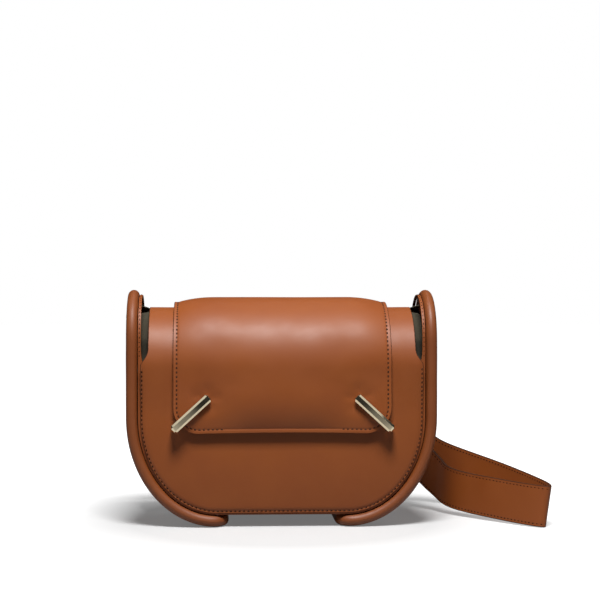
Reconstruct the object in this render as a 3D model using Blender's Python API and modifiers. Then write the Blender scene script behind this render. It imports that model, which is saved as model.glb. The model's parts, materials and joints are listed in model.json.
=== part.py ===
"""Saddle-shaped leather satchel, modelled piece by piece at its real size.

Metres, +Z up, +X to the bag's right as it is looked at, -Y towards its front.
The origin is the middle of the base's underside; the bag stands on the feet of
its two side rims, a little below that.
"""

import math

import bmesh
import bpy
from mathutils import Matrix, Vector

# Overall form, with heights measured from the floor that the bag stands on
BAG_WIDTH = 0.2222
CORNER_HEIGHT = 0.0775
BASE_RUN = 0.0930
EAR_HEIGHT = 0.1687
SHOULDER_HEIGHT = 0.1563
RIM_DIAMETER = 0.0082
RIM_SPAN = 0.0650

# Room left between pieces that touch in the real bag
CLEARANCE = 0.0003
LAYER_GAP = 0.0004

# Leather, board and lining thicknesses
LEATHER = 0.0016
BOARD = 0.0012
LINING = 0.0008
GUSSET_LEATHER = 0.0018
WELT_LEATHER = 0.0014

# Front panel: its crown, its rolled top and the free part above its notches
FRONT_DEPTH = 0.0380
ROLL_RADIUS = 0.0430
PANEL_INSET = 0.0100
CROWN_REACH = 0.0400
SHOULDER_HALF = 0.0953
NOTCH_HEIGHT = 0.1200
NOTCH_LENGTH = 0.0030
MOUTH_FRONT = 0.0000
MOUTH_EDGE_STEP = 0.0010
CROWN_POWER = 2.2

# Back panel and the fold that the flap swings on
BACK_DEPTH = 0.0360
FOLD_ANGLE = math.radians(54.3)
FOLD_RADIUS = 0.0010
FOLD_MARGIN = 0.0010

# Board and lining lie inside the seam; the shoulders' board is a little narrower
LAYER_INSET = 0.0136
SHOULDER_LAYER_STEP = 0.0015
MOUTH_DROP = 0.0050

# Seam strips between the rims and the panels
WELT_WIDTH = 0.0045
WELT_LIP = 0.0022

# Gussets, measured in from the bag's outline
GUSSET_INSET = 0.0050
FOOT_INNER = 0.0420
FOOT_CORNER = 0.0090
EAR_LINING_HEIGHT = 0.1570
EAR_TOP_SHARE = 0.985
GUSSET_LINING_START = 0.0575

# Rims: a sleeve of leather, open along its seam, over a cord
RIM_WALL = 0.0011
RIM_SEAM = 0.0012
CORD_DIAMETER = 0.0052

# Base
BASE_LEATHER = 0.0018
BASE_SKIVE = 0.0006
BASE_HALF_LENGTH = 0.0465
BASE_BOARD_HALF_LENGTH = 0.0480
BASE_BOARD_MARGIN = 0.0030

# Slip pocket inside, on the back
POCKET_WIDTH = 0.1100
POCKET_HEIGHT = 0.0650
POCKET_TOP = 0.1180
POCKET_LEATHER = 0.0010

# Flap
FLAP_WIDTH = 0.1550
FLAP_EDGE_HEIGHT = 0.0672
FLAP_CORNER = 0.0140
FLAP_GAP = 0.0006
FLAP_CROWN_TOP = 0.0044
FLAP_CROWN_FRONT = 0.0030
FLAP_CROWN_REACH = 0.0350
FLAP_FOLD_REACH = 0.0260
FLAP_EDGE_ARCH = 0.0007
DIMPLE_DEPTH = 0.0012
DIMPLE_RADIUS = 0.0140
PAD_MARGIN = 0.0130
PAD_SLACK = 0.0004

# Clasp bars, swivelling on posts near the flap's lower corners
BAR_PIVOT_INSET = 0.0235
BAR_PIVOT_RISE = 0.0240
BAR_ANGLE = math.radians(42.4)
BAR_LENGTH = 0.0355
BAR_TAIL = 0.0032
BAR_WIDTH = 0.0058
BAR_THICKNESS = 0.0038
BAR_BEVEL = 0.0011
BAR_STANDOFF = 0.0050
BAR_LEG = 0.0032
BAR_LEG_GAP = 0.0004
POST_RADIUS = 0.0015
POST_CLEARANCE = 0.0004
NUT_RADIUS = 0.0040
NUT_THICKNESS = 0.0010
NUT_CLEARANCE = 0.0006

# Magnets behind the front panel that hold the bars' outer ends
MAGNET_RADIUS = 0.0060
MAGNET_THICKNESS = 0.0010

# Strap
STRAP_WIDTH = 0.0295
STRAP_THICKNESS = 0.0024
STRAP_DROP = 0.0327
STRAP_TIP = 0.0120
STRAP_FLAT = 0.0040
STRAP_RAMP = 0.0200
STRAP_TIP_ROUND = 0.0060

# Studs that hold the strap's ends to the ears
STUD_Y = -0.0040
STUD_PITCH = 0.0140
STUD_HEAD_RADIUS = 0.0032
STUD_HEAD = 0.0012
STUD_SHANK_RADIUS = 0.0012
STUD_CAP = 0.0010

# One overrun serves every cut
CUT_OVERRUN = 0.0020

# Points closer than this are one; faces flatter than this are one; edges sharper
# than this stay crisp
MERGE = 0.000001
FLAT_ANGLE = math.radians(1)
SHARP_ANGLE = math.radians(35)

# Sizes that follow from those above
HALF_WIDTH = BAG_WIDTH / 2
BASE_HALF = BASE_RUN / 2
CORNER_RUN = HALF_WIDTH - BASE_HALF
RIM_RADIUS = RIM_DIAMETER / 2
RIM_HALF_SPAN = RIM_SPAN / 2
FLOOR_Z = -(RIM_DIAMETER + CLEARANCE)
CORNER_Z = FLOOR_Z + CORNER_HEIGHT
EAR_CENTRE_Z = FLOOR_Z + EAR_HEIGHT - RIM_RADIUS - RIM_HALF_SPAN
ROLL_Y = ROLL_RADIUS - FRONT_DEPTH
ROLL_Z = FLOOR_Z + SHOULDER_HEIGHT - ROLL_RADIUS
NOTCH_Z = FLOOR_Z + NOTCH_HEIGHT
SEAM_DEPTH = RIM_HALF_SPAN + WELT_LEATHER / 2 + LAYER_GAP + LEATHER
FRONT_CROWN = FRONT_DEPTH - SEAM_DEPTH
BACK_CROWN = BACK_DEPTH - SEAM_DEPTH
BOARD_DEPTH = LEATHER + LAYER_GAP
LINING_DEPTH = BOARD_DEPTH + BOARD + LAYER_GAP
WALL_DEPTH = LINING_DEPTH + LINING
FLAP_HALF = FLAP_WIDTH / 2
FLAP_EDGE_Z = FLOOR_Z + FLAP_EDGE_HEIGHT
FLAP_INSIDE = ROLL_RADIUS + FLAP_GAP
FLAP_LEATHER_RISE = LINING + LAYER_GAP
FLAP_EDGE_RISE = FLAP_LEATHER_RISE + LEATHER
FOLD_LINE_RADIUS = FLAP_INSIDE + FLAP_EDGE_RISE / 2
FOLD_Y = ROLL_Y + FOLD_LINE_RADIUS * math.cos(FOLD_ANGLE)
FOLD_Z = ROLL_Z + FOLD_LINE_RADIUS * math.sin(FOLD_ANGLE)
BACK_TOP_Z = FOLD_Z - FOLD_RADIUS - CLEARANCE
FLAP_ARC = FLAP_INSIDE * (math.pi - FOLD_ANGLE)
FLAP_RUN = FLAP_ARC + ROLL_Z - FLAP_EDGE_Z
BAR_PIVOT_X = FLAP_HALF - BAR_PIVOT_INSET
BAR_PIVOT_Z = FLAP_EDGE_Z + BAR_PIVOT_RISE
BAR_REACH = BAR_LENGTH - BAR_TAIL - BAR_LEG / 2
WELT_INSET = RIM_DIAMETER + CLEARANCE
EAR_RADIUS = RIM_HALF_SPAN - RIM_RADIUS - CLEARANCE
STRAP_Z = FLOOR_Z + EAR_HEIGHT - STRAP_DROP
STRAP_REST_Z = FLOOR_Z + STRAP_WIDTH / 2 + CLEARANCE
STRAP_EAR_X = HALF_WIDTH - GUSSET_INSET + CLEARANCE + STRAP_THICKNESS / 2
STRAP_OVER_RIM_X = HALF_WIDTH + CLEARANCE + STRAP_THICKNESS / 2
GUSSET_LINING_INSET = GUSSET_INSET + GUSSET_LEATHER + CLEARANCE

# Facets
PANEL_COLUMNS = 16
LAYER_COLUMNS = 10
CORNER_ROWS = 8
SIDE_ROWS = 2
ROLL_ROWS = 10
BACK_TOP_ROWS = 3
FLAP_COLUMNS = 18
FLAP_ROLL_ROWS = 12
FLAP_FRONT_ROWS = 4
FLAP_CORNER_ROWS = 5
GUSSET_ROWS = 12
GUSSET_COLUMNS = 2
EAR_STEPS = 12
EAR_ROWS = 5
FOOT_STEPS = 3
SLEEVE_SIDES = 10
SLEEVE_INNER_SIDES = 8
CORD_SIDES = 6
STRAP_STEPS = 4
ROUND_STEPS = 16
HALVINGS = 40

# Where the strap runs behind the bag and out to its right, from the left ear
# to the right one. Shares: of the half width, of the rims' half span, and of the
# climb from the floor to the ears.
STRAP_ROUTE_SHARES = (
    (-1.016, 1.18, 0.99),
    (-0.945, 1.62, 0.965),
    (-0.72, 1.80, 0.905),
    (-0.36, 2.05, 0.80),
    (0.09, 2.40, 0.635),
    (0.545, 2.56, 0.455),
    (0.955, 2.45, 0.27),
    (1.17, 2.12, 0.165),
    (1.50, 0.60, 0.070),
    (1.69, -0.60, 0.016),
    (1.724, -1.18, 0.0),
    (1.665, -1.36, 0.0),
    (1.42, -0.50, 0.012),
    (1.17, 0.52, 0.040),
    (1.075, 1.12, 0.105),
    (0.93, 1.68, 0.25),
    (0.76, 1.90, 0.39),
    (0.60, 1.95, 0.49),
    (0.455, 1.88, 0.55),
    (0.40, 1.64, 0.61),
    (0.455, 1.42, 0.67),
    (0.60, 1.34, 0.75),
    (0.76, 1.35, 0.85),
    (0.925, 1.48, 0.95),
    (1.016, 1.18, 0.99),
)

# Colours
TAN = (0.290, 0.071, 0.010, 1.0)
OLIVE = (0.045, 0.038, 0.022, 1.0)
BOARD_GREY = (0.35, 0.33, 0.30, 1.0)
FOAM = (0.70, 0.68, 0.62, 1.0)
GOLD = (0.83, 0.72, 0.50, 1.0)
STEEL = (0.55, 0.55, 0.56, 1.0)
CORD_WHITE = (0.72, 0.70, 0.65, 1.0)


def clear_scene():
    """Remove every object that the file starts with."""
    for item in list(bpy.data.objects):
        bpy.data.objects.remove(item, do_unlink=True)


def collection(name):
    """A new collection in the scene."""
    group = bpy.data.collections.new(name)
    bpy.context.scene.collection.children.link(group)
    return group


def material(name, colour, roughness, metallic):
    """A plain finish."""
    finish = bpy.data.materials.new(name)
    finish.use_nodes = True
    shader = finish.node_tree.nodes["Principled BSDF"]
    shader.inputs["Base Color"].default_value = colour
    shader.inputs["Roughness"].default_value = roughness
    shader.inputs["Metallic"].default_value = metallic
    return finish


def place_object(name, mesh, finish, group=None):
    """Put a mesh into the bag's collection under its own name."""
    item = bpy.data.objects.new(name, mesh)
    (group or PARTS).objects.link(item)
    if finish:
        mesh.materials.append(finish)
    mesh.shade_smooth()
    mesh.set_sharp_from_angle(angle=SHARP_ANGLE)
    return item


def grid_mesh(name, columns, rows, place):
    """A grid whose points are placed by their column and row."""
    shape = bmesh.new()
    bmesh.ops.create_grid(shape, x_segments=columns, y_segments=rows, size=1)
    for point in shape.verts:
        column = round((point.co.x + 1) / 2 * columns)
        row = round((point.co.y + 1) / 2 * rows)
        point.co = place(column, row)
    mesh = bpy.data.meshes.new(name)
    shape.to_mesh(mesh)
    shape.free()
    return mesh


def shell(name, columns, rows, place, thickness, finish, offset=-1):
    """An open surface given its thickness, behind its faces or about them."""
    item = place_object(name, grid_mesh(name, columns, rows, place), finish)
    wall = item.modifiers.new("Wall", 'SOLIDIFY')
    wall.thickness = thickness
    wall.offset = offset
    wall.use_even_offset = True
    return item


def turned_mesh(name, profile, closed):
    """A profile of (radius, height) points turned about Z."""
    line = bpy.data.meshes.new(name + "_profile")
    count = len(profile)
    edges = [(i, i + 1) for i in range(count - 1)]
    if closed:
        edges.append((count - 1, 0))
    line.from_pydata([(radius, 0, height) for radius, height in profile], edges, [])
    item = bpy.data.objects.new(name + "_profile", line)
    bpy.context.scene.collection.objects.link(item)
    turn = item.modifiers.new("Turn", 'SCREW')
    turn.steps = ROUND_STEPS
    turn.render_steps = ROUND_STEPS
    turn.use_merge_vertices = True
    turn.merge_threshold = MERGE
    bpy.context.view_layer.update()
    seen = item.evaluated_get(bpy.context.evaluated_depsgraph_get())
    mesh = bpy.data.meshes.new_from_object(seen)
    bpy.data.objects.remove(item, do_unlink=True)
    shape = bmesh.new()
    shape.from_mesh(mesh)
    bmesh.ops.recalc_face_normals(shape, faces=shape.faces)
    shape.to_mesh(mesh)
    shape.free()
    return mesh


def disc_mesh(name, radius, low, high):
    """A turned disc between two heights."""
    return turned_mesh(name, [(0, high), (radius, high), (radius, low), (0, low)], False)


def ring_mesh(name, bore, radius, low, high):
    """A turned ring between two heights."""
    profile = [(bore, high), (radius, high), (radius, low), (bore, low)]
    return turned_mesh(name, profile, True)


def stand(name, mesh, where, finish):
    """A piece whose mesh keeps its own axes, stood at its place."""
    item = place_object(name, mesh, finish)
    item.matrix_world = where
    return item


def cut(item, name, mesh, places):
    """Cut a copy of a mesh out of a piece at each place."""
    shape = bmesh.new()
    for where in places:
        start = len(shape.verts)
        shape.from_mesh(mesh)
        shape.verts.ensure_lookup_table()
        bmesh.ops.transform(shape, matrix=where, verts=shape.verts[start:])
    joined = bpy.data.meshes.new(name)
    shape.to_mesh(joined)
    shape.free()
    bpy.data.meshes.remove(mesh)
    tool = place_object(name, joined, None, CUTTERS)
    tool.hide_render = True
    tool.display_type = 'WIRE'
    knife = item.modifiers.new(name, 'BOOLEAN')
    knife.operation = 'DIFFERENCE'
    knife.object = tool


def corner_point(inset, angle):
    """A point of the bag's lower right corner, inset from its outline."""
    x = BASE_HALF + (CORNER_RUN - inset) * math.cos(angle)
    z = CORNER_Z - (CORNER_HEIGHT - inset) * math.sin(angle)
    return x, z


def inset_at(x, z):
    """How far inside the bag's outline a point of the front view lies."""
    side = abs(x)
    if z >= CORNER_Z:
        return HALF_WIDTH - side
    if side <= BASE_HALF:
        return z - FLOOR_Z
    low, high = 0.0, min(CORNER_RUN, CORNER_HEIGHT)
    for _ in range(HALVINGS):
        middle = (low + high) / 2
        across = (side - BASE_HALF) / max(CORNER_RUN - middle, LAYER_GAP)
        down = (CORNER_Z - z) / max(CORNER_HEIGHT - middle, LAYER_GAP)
        if across ** 2 + down ** 2 > 1:
            high = middle
        else:
            low = middle
    return low


def crown(distance, reach):
    """A cushion's rise, 0 at its edge and 1 beyond its reach."""
    inside = min(max(distance / reach, 0), 1)
    return 1 - (1 - inside) ** CROWN_POWER


def smooth(value, start, end):
    """0 before start, 1 after end, easy between."""
    share = min(max((value - start) / (end - start), 0), 1)
    return share * share * (3 - 2 * share)


def edge_drop(x, z, rise):
    """How far a panel of a given crown falls back towards its seam."""
    seam = 1 - smooth(z, NOTCH_Z - CROWN_REACH, NOTCH_Z)
    return rise * seam * (1 - crown(inset_at(x, z) - PANEL_INSET, CROWN_REACH))


def front_point(x, climb, depth):
    """A point of the front, climbing its face and then its rolled top."""
    angle = max(climb - ROLL_Z, 0) / ROLL_RADIUS
    height = min(climb, ROLL_Z)
    drop = edge_drop(x, height + ROLL_RADIUS * math.sin(angle), FRONT_CROWN)
    radius = ROLL_RADIUS - depth - drop
    return Vector((x, ROLL_Y - radius * math.cos(angle), height + radius * math.sin(angle)))


def back_point(x, z, depth):
    """A point of the back, which leans in to the fold at its top."""
    lean = BACK_DEPTH - FOLD_Y - LEATHER / 2
    share = max((z - ROLL_Z) / (BACK_TOP_Z - ROLL_Z), 0)
    return Vector((x, BACK_DEPTH - depth - edge_drop(x, z, BACK_CROWN) - lean * share ** 2, z))


def roll_climb(y):
    """How far up the front's surface its rolled top reaches a given depth."""
    angle = math.acos(min(max((ROLL_Y - y) / ROLL_RADIUS, -1), 1))
    return ROLL_Z + ROLL_RADIUS * angle


def panel_rows(inset, shoulder_half, top, roll_rows):
    """Rows of (climb, half width) from a panel's foot to its top edge."""
    rows = []
    for step in range(CORNER_ROWS + 1):
        half, climb = corner_point(inset, math.pi / 2 * (1 - step / CORNER_ROWS))
        rows.append((climb, half))
    side = HALF_WIDTH - inset
    below = NOTCH_Z - NOTCH_LENGTH
    for step in range(1, SIDE_ROWS + 1):
        rows.append((CORNER_Z + (below - CORNER_Z) * step / SIDE_ROWS, side))
    rows.append((NOTCH_Z, shoulder_half))
    for step in range(1, roll_rows + 1):
        rows.append((NOTCH_Z + (top - NOTCH_Z) * step / roll_rows, shoulder_half))
    return rows


def across(column, columns):
    """A column's place from -1 to 1, closer together near the edges."""
    return math.sin(math.pi / 2 * (2 * column / columns - 1))


def make_front():
    """Front leather, its board with two magnets, and its lining."""
    climb = roll_climb(MOUTH_FRONT)
    shoulder = SHOULDER_HALF - SHOULDER_LAYER_STEP
    layers = (
        ("front_panel", PANEL_INSET, SHOULDER_HALF, climb, 0, LEATHER, PANEL_COLUMNS, "leather"),
        ("front_board", LAYER_INSET, shoulder, climb - MOUTH_EDGE_STEP, BOARD_DEPTH, BOARD,
         LAYER_COLUMNS, "board"),
        ("front_lining", LAYER_INSET, shoulder, climb - MOUTH_EDGE_STEP, LINING_DEPTH, LINING,
         LAYER_COLUMNS, "lining"),
    )
    made = {}
    for name, inset, half, top, depth, thickness, columns, finish in layers:
        rows = panel_rows(inset, half, top, ROLL_ROWS)

        def place(column, row):
            height, reach = rows[row]
            return front_point(across(column, columns) * reach, height, depth)

        made[name] = shell(name, columns, len(rows) - 1, place, thickness, FINISH[finish])
    places = [magnet_place(side) for side in (-1, 1)]
    hole = disc_mesh("magnet_hole", MAGNET_RADIUS + CLEARANCE, -CUT_OVERRUN,
                     MAGNET_THICKNESS + CUT_OVERRUN)
    cut(made["front_board"], "magnet_holes", hole, places)
    for label, where in zip(("left_", "right_"), places):
        magnet = disc_mesh("magnet", MAGNET_RADIUS, 0, MAGNET_THICKNESS)
        stand(label + "catch_magnet", magnet, where, FINISH["steel"])


def magnet_place(side):
    """Behind the front panel, under one bar's outer end."""
    x = BAR_PIVOT_X + BAR_REACH * math.cos(BAR_ANGLE)
    z = BAR_PIVOT_Z - BAR_REACH * math.sin(BAR_ANGLE)
    y = front_point(x, z, BOARD_DEPTH).y + (BOARD - MAGNET_THICKNESS) / 2
    return Matrix.Translation((side * x, y, z)) @ Matrix.Rotation(-math.pi / 2, 4, 'X')


def make_back():
    """Back leather, its board and its lining, and the slip pocket on the lining."""
    layer_top = BACK_TOP_Z - MOUTH_DROP
    shoulder = SHOULDER_HALF - SHOULDER_LAYER_STEP
    layers = (
        ("back_panel", PANEL_INSET, SHOULDER_HALF, BACK_TOP_Z, 0, LEATHER, "leather"),
        ("back_board", LAYER_INSET, shoulder, layer_top, BOARD_DEPTH, BOARD, "board"),
        ("back_lining", LAYER_INSET, shoulder, layer_top, LINING_DEPTH, LINING, "lining"),
    )
    for name, inset, half, top, depth, thickness, finish in layers:
        rows = panel_rows(inset, half, top, BACK_TOP_ROWS)

        def place(column, row):
            height, reach = rows[row]
            return back_point(-across(column, LAYER_COLUMNS) * reach, height, depth)

        shell(name, LAYER_COLUMNS, len(rows) - 1, place, thickness, FINISH[finish])

    def pocket(column, row):
        x = POCKET_WIDTH * (0.5 - column / LAYER_COLUMNS)
        z = FLOOR_Z + POCKET_TOP - POCKET_HEIGHT * (1 - row / BACK_TOP_ROWS)
        return back_point(x, z, WALL_DEPTH + LAYER_GAP)

    shell("slip_pocket", LAYER_COLUMNS, BACK_TOP_ROWS, pocket, POCKET_LEATHER, FINISH["lining"])


def gusset_rows(inset, start, corner, top):
    """Rows of (x, z, half depth) from the foot, round the corner and up the ear."""
    rows = []
    turn = (start + corner - BASE_HALF) / (CORNER_RUN - inset)
    first = math.acos(min(max(turn, 0), 1))
    if corner:
        begin = math.acos(min(max((start - BASE_HALF) / (CORNER_RUN - inset), 0), 1))
        rows.append((start, corner_point(inset, begin)[1], EAR_RADIUS - corner))
    for step in range(GUSSET_ROWS + 1):
        x, z = corner_point(inset, first * (1 - step / GUSSET_ROWS))
        rows.append((x, z, EAR_RADIUS))
    side = HALF_WIDTH - inset
    rows.append((side, EAR_CENTRE_Z, EAR_RADIUS))
    last = math.asin(min((top - EAR_CENTRE_Z) / EAR_RADIUS, EAR_TOP_SHARE))
    for step in range(1, EAR_ROWS + 1):
        angle = last * step / EAR_ROWS
        rows.append((side, EAR_CENTRE_Z + EAR_RADIUS * math.sin(angle),
                     EAR_RADIUS * math.cos(angle)))
    return rows


def make_gusset(side, label):
    """The side strip inside one rim, and its lining, both with the studs' holes."""
    start = FOOT_INNER + RIM_RADIUS + CLEARANCE
    corner = FOOT_CORNER - RIM_RADIUS - CLEARANCE
    top = EAR_CENTRE_Z + EAR_RADIUS
    lining_top = FLOOR_Z + EAR_LINING_HEIGHT
    strips = (
        ("gusset", gusset_rows(GUSSET_INSET, start, corner, top), GUSSET_LEATHER, "leather"),
        ("gusset_lining", gusset_rows(GUSSET_LINING_INSET, GUSSET_LINING_START, 0, lining_top),
         LINING, "lining"),
    )
    for name, rows, thickness, finish in strips:

        def place(column, row):
            x, z, half = rows[row]
            return Vector((side * x, side * half * (2 * column / GUSSET_COLUMNS - 1), z))

        strip = shell(label + name, GUSSET_COLUMNS, len(rows) - 1, place, thickness,
                      FINISH[finish])
        cut(strip, label + name + "_holes", stud_hole(), stud_places(side))


def stud_places(side):
    """The studs of one ear, their heads outwards."""
    turn = Matrix.Rotation(side * math.pi / 2, 4, 'Y')
    places = []
    for row in (-1, 1):
        z = STRAP_Z + row * STUD_PITCH / 2
        where = Vector((side * (HALF_WIDTH - GUSSET_INSET), STUD_Y, z))
        places.append(Matrix.Translation(where) @ turn)
    return places


def stud_hole():
    """A cutter as wide as a stud's shank and its clearance."""
    radius = STUD_SHANK_RADIUS + CLEARANCE
    reach = STRAP_THICKNESS + GUSSET_LEATHER + LINING + CUT_OVERRUN
    return disc_mesh("stud_hole", radius, -reach, reach)


def make_studs():
    """Studs through the strap, gusset and lining, and the caps inside."""
    inside = -(GUSSET_LEATHER + 2 * CLEARANCE + LINING + STUD_CAP)
    seat = 2 * CLEARANCE + STRAP_THICKNESS
    head = seat + STUD_HEAD
    profile = [
        (0, head), (STUD_HEAD_RADIUS, head), (STUD_HEAD_RADIUS, seat),
        (STUD_SHANK_RADIUS, seat), (STUD_SHANK_RADIUS, inside), (0, inside),
    ]
    bore = STUD_SHANK_RADIUS + CLEARANCE
    names = ("left_lower_stud", "left_upper_stud", "right_lower_stud", "right_upper_stud")
    for name, where in zip(names, stud_places(-1) + stud_places(1)):
        stand(name, turned_mesh("stud", profile, False), where, FINISH["gold"])
        cap = ring_mesh("cap", bore, STUD_HEAD_RADIUS, inside, inside + STUD_CAP - CLEARANCE)
        stand(name + "_cap", cap, where, FINISH["gold"])


def rim_stations():
    """The rim's closed path: point, outward direction in the gusset's surface, normal."""
    stations = []
    for step in range(EAR_STEPS + 1):
        angle = math.pi * step / EAR_STEPS
        outward = Vector((0, -math.cos(angle), math.sin(angle)))
        point = Vector((HALF_WIDTH - RIM_RADIUS, 0, EAR_CENTRE_Z)) + RIM_HALF_SPAN * outward
        stations.append((point, outward, Vector((1, 0, 0))))
    corner_x = FOOT_INNER + FOOT_CORNER
    last = math.acos((corner_x - BASE_HALF) / (CORNER_RUN - RIM_RADIUS))
    down = [last * step / GUSSET_ROWS for step in range(GUSSET_ROWS + 1)]
    back = []
    for angle in down:
        x, z = corner_point(RIM_RADIUS, angle)
        slope = Vector((math.cos(angle) / (CORNER_RUN - RIM_RADIUS), 0,
                        -math.sin(angle) / (CORNER_HEIGHT - RIM_RADIUS))).normalized()
        back.append((Vector((x, RIM_HALF_SPAN, z)), Vector((0, 1, 0)), slope))
    stations += back
    foot_y = RIM_HALF_SPAN - FOOT_CORNER
    foot = []
    for step in range(1, FOOT_STEPS + 1):
        angle = math.pi / 2 * (1 - step / FOOT_STEPS)
        outward = Vector((-math.cos(angle), math.sin(angle), 0))
        x = corner_x - FOOT_CORNER * math.cos(angle)
        share = min(max((x - BASE_HALF) / (CORNER_RUN - RIM_RADIUS), 0), 1)
        z = corner_point(RIM_RADIUS, math.acos(share))[1]
        point = Vector((x, foot_y + FOOT_CORNER * math.sin(angle), z))
        foot.append((point, outward, Vector((0, 0, -1))))
    stations += foot
    for group in (reversed(foot), reversed(back)):
        for point, outward, normal in group:
            mirrored = Vector((point.x, -point.y, point.z))
            stations.append((mirrored, Vector((outward.x, -outward.y, outward.z)), normal))
    return stations


def closed_tube(name, side, section, finish):
    """A section of (outward, normal) points carried round the rim's path."""
    path = rim_stations()
    rows = len(path)
    columns = len(section)

    def place(column, row):
        point, outward, normal = path[row % rows]
        reach, lift = section[column % columns]
        spot = point + reach * outward + lift * normal
        return Vector((side * spot.x, spot.y, spot.z))

    mesh = grid_mesh(name, columns, rows, place)
    shape = bmesh.new()
    shape.from_mesh(mesh)
    bmesh.ops.remove_doubles(shape, verts=shape.verts, dist=MERGE)
    bmesh.ops.recalc_face_normals(shape, faces=shape.faces)
    shape.to_mesh(mesh)
    shape.free()
    return place_object(name, mesh, finish)


def make_rim(side, label):
    """A leather sleeve, open along its seam towards the gusset, over a cord."""
    outer = []
    opening = math.asin(RIM_SEAM / 2 / RIM_RADIUS)
    for step in range(SLEEVE_SIDES + 1):
        angle = math.pi + opening + (2 * math.pi - 2 * opening) * step / SLEEVE_SIDES
        outer.append((RIM_RADIUS * math.cos(angle), RIM_RADIUS * math.sin(angle)))
    bore = RIM_RADIUS - RIM_WALL
    opening = math.asin(RIM_SEAM / 2 / bore)
    inner = []
    for step in range(SLEEVE_INNER_SIDES + 1):
        angle = math.pi - opening - (2 * math.pi - 2 * opening) * step / SLEEVE_INNER_SIDES
        inner.append((bore * math.cos(angle), bore * math.sin(angle)))
    closed_tube(label + "rim", side, outer + inner, FINISH["leather"])
    radius = CORD_DIAMETER / 2
    cord = []
    for step in range(CORD_SIDES):
        angle = 2 * math.pi * step / CORD_SIDES
        cord.append((radius * math.cos(angle), radius * math.sin(angle)))
    closed_tube(label + "rim_cord", side, cord, FINISH["cord"])


def make_welt(name, facing):
    """The seam strip that joins both rims to one panel, narrow beside the ears."""
    stations = []
    for step in range(CORNER_ROWS + 1):
        angle = math.pi / 2 * (1 - step / CORNER_ROWS)
        outer = corner_point(WELT_INSET, angle)
        inner = corner_point(WELT_INSET + WELT_WIDTH, angle)
        stations.append((outer, inner))
    outer_x = HALF_WIDTH - WELT_INSET
    below = NOTCH_Z - NOTCH_LENGTH
    stations.append(((outer_x, below), (outer_x - WELT_WIDTH, below)))
    stations.append(((outer_x, NOTCH_Z), (outer_x - WELT_LIP, NOTCH_Z)))
    stations.append(((outer_x, EAR_CENTRE_Z), (outer_x - WELT_LIP, EAR_CENTRE_Z)))
    half = len(stations)
    rows = 2 * half - 1

    def place(column, row):
        right = row >= half
        outer, inner = stations[row - half if right else half - 1 - row]
        x, z = outer if column == 0 else inner
        side = 1 if right else -1
        return Vector((side * x, facing * (RIM_HALF_SPAN + WELT_LEATHER / 2), z))

    mesh = grid_mesh(name, 1, rows, place)
    shape = bmesh.new()
    shape.from_mesh(mesh)
    bmesh.ops.recalc_face_normals(shape, faces=shape.faces)
    shape.faces.ensure_lookup_table()
    if shape.faces[0].normal.y * facing < 0:
        bmesh.ops.reverse_faces(shape, faces=shape.faces)
    shape.to_mesh(mesh)
    shape.free()
    item = place_object(name, mesh, FINISH["leather"])
    wall = item.modifiers.new("Wall", 'SOLIDIFY')
    wall.thickness = WELT_LEATHER
    wall.offset = -1
    return item


def block_mesh(name, low, high):
    """A block between two corners."""
    shape = bmesh.new()
    bmesh.ops.create_cube(shape, size=2)
    for point in shape.verts:
        for axis in range(3):
            point.co[axis] = low[axis] if point.co[axis] < 0 else high[axis]
    mesh = bpy.data.meshes.new(name)
    shape.to_mesh(mesh)
    shape.free()
    return mesh


def box(name, low, high, finish):
    """A piece that is a block between two corners."""
    return place_object(name, block_mesh(name, low, high), finish)


def make_base():
    """Base leather, skived over the feet, its board and its lining."""
    half_depth = RIM_HALF_SPAN - WELT_LEATHER / 2 - CLEARANCE
    strip = box("base_strip", (-BASE_HALF_LENGTH, -half_depth, 0),
                (BASE_HALF_LENGTH, half_depth, BASE_LEATHER), FINISH["leather"])
    skive_start = FOOT_INNER - RIM_RADIUS - CLEARANCE
    skived = block_mesh("skived_end", (skive_start, -half_depth - CUT_OVERRUN, -CUT_OVERRUN),
                        (BASE_HALF_LENGTH + CUT_OVERRUN, half_depth + CUT_OVERRUN, BASE_SKIVE))
    half_turn = Matrix.Rotation(math.pi, 4, 'Z')
    cut(strip, "skived_ends", skived, (Matrix.Identity(4), half_turn))
    board_depth = half_depth - BASE_BOARD_MARGIN
    low = BASE_LEATHER + LAYER_GAP
    box("base_board", (-BASE_BOARD_HALF_LENGTH, -board_depth, low),
        (BASE_BOARD_HALF_LENGTH, board_depth, low + BOARD), FINISH["board"])
    low += BOARD + LAYER_GAP
    box("base_lining", (-BASE_BOARD_HALF_LENGTH, -board_depth, low),
        (BASE_BOARD_HALF_LENGTH, board_depth, low + LINING), FINISH["lining"])


def flap_crown(x, run):
    """The padding's rise under the flap's leather, dimpled round the bars' posts."""
    side = crown(FLAP_HALF - abs(x), FLAP_CROWN_REACH)
    end = crown(FLAP_RUN - run, FLAP_CROWN_REACH)
    fold = smooth(run, 0, FLAP_FOLD_REACH)
    front = smooth(run, FLAP_ARC / 2, FLAP_ARC + FLAP_CORNER)
    rise = FLAP_CROWN_TOP + (FLAP_CROWN_FRONT - FLAP_CROWN_TOP) * front
    height = ROLL_Z - (run - FLAP_ARC)
    away = math.hypot(abs(x) - BAR_PIVOT_X, height - BAR_PIVOT_Z)
    dimple = DIMPLE_DEPTH * (1 - smooth(away, NUT_RADIUS, DIMPLE_RADIUS))
    return rise * side * end * fold - dimple


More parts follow.
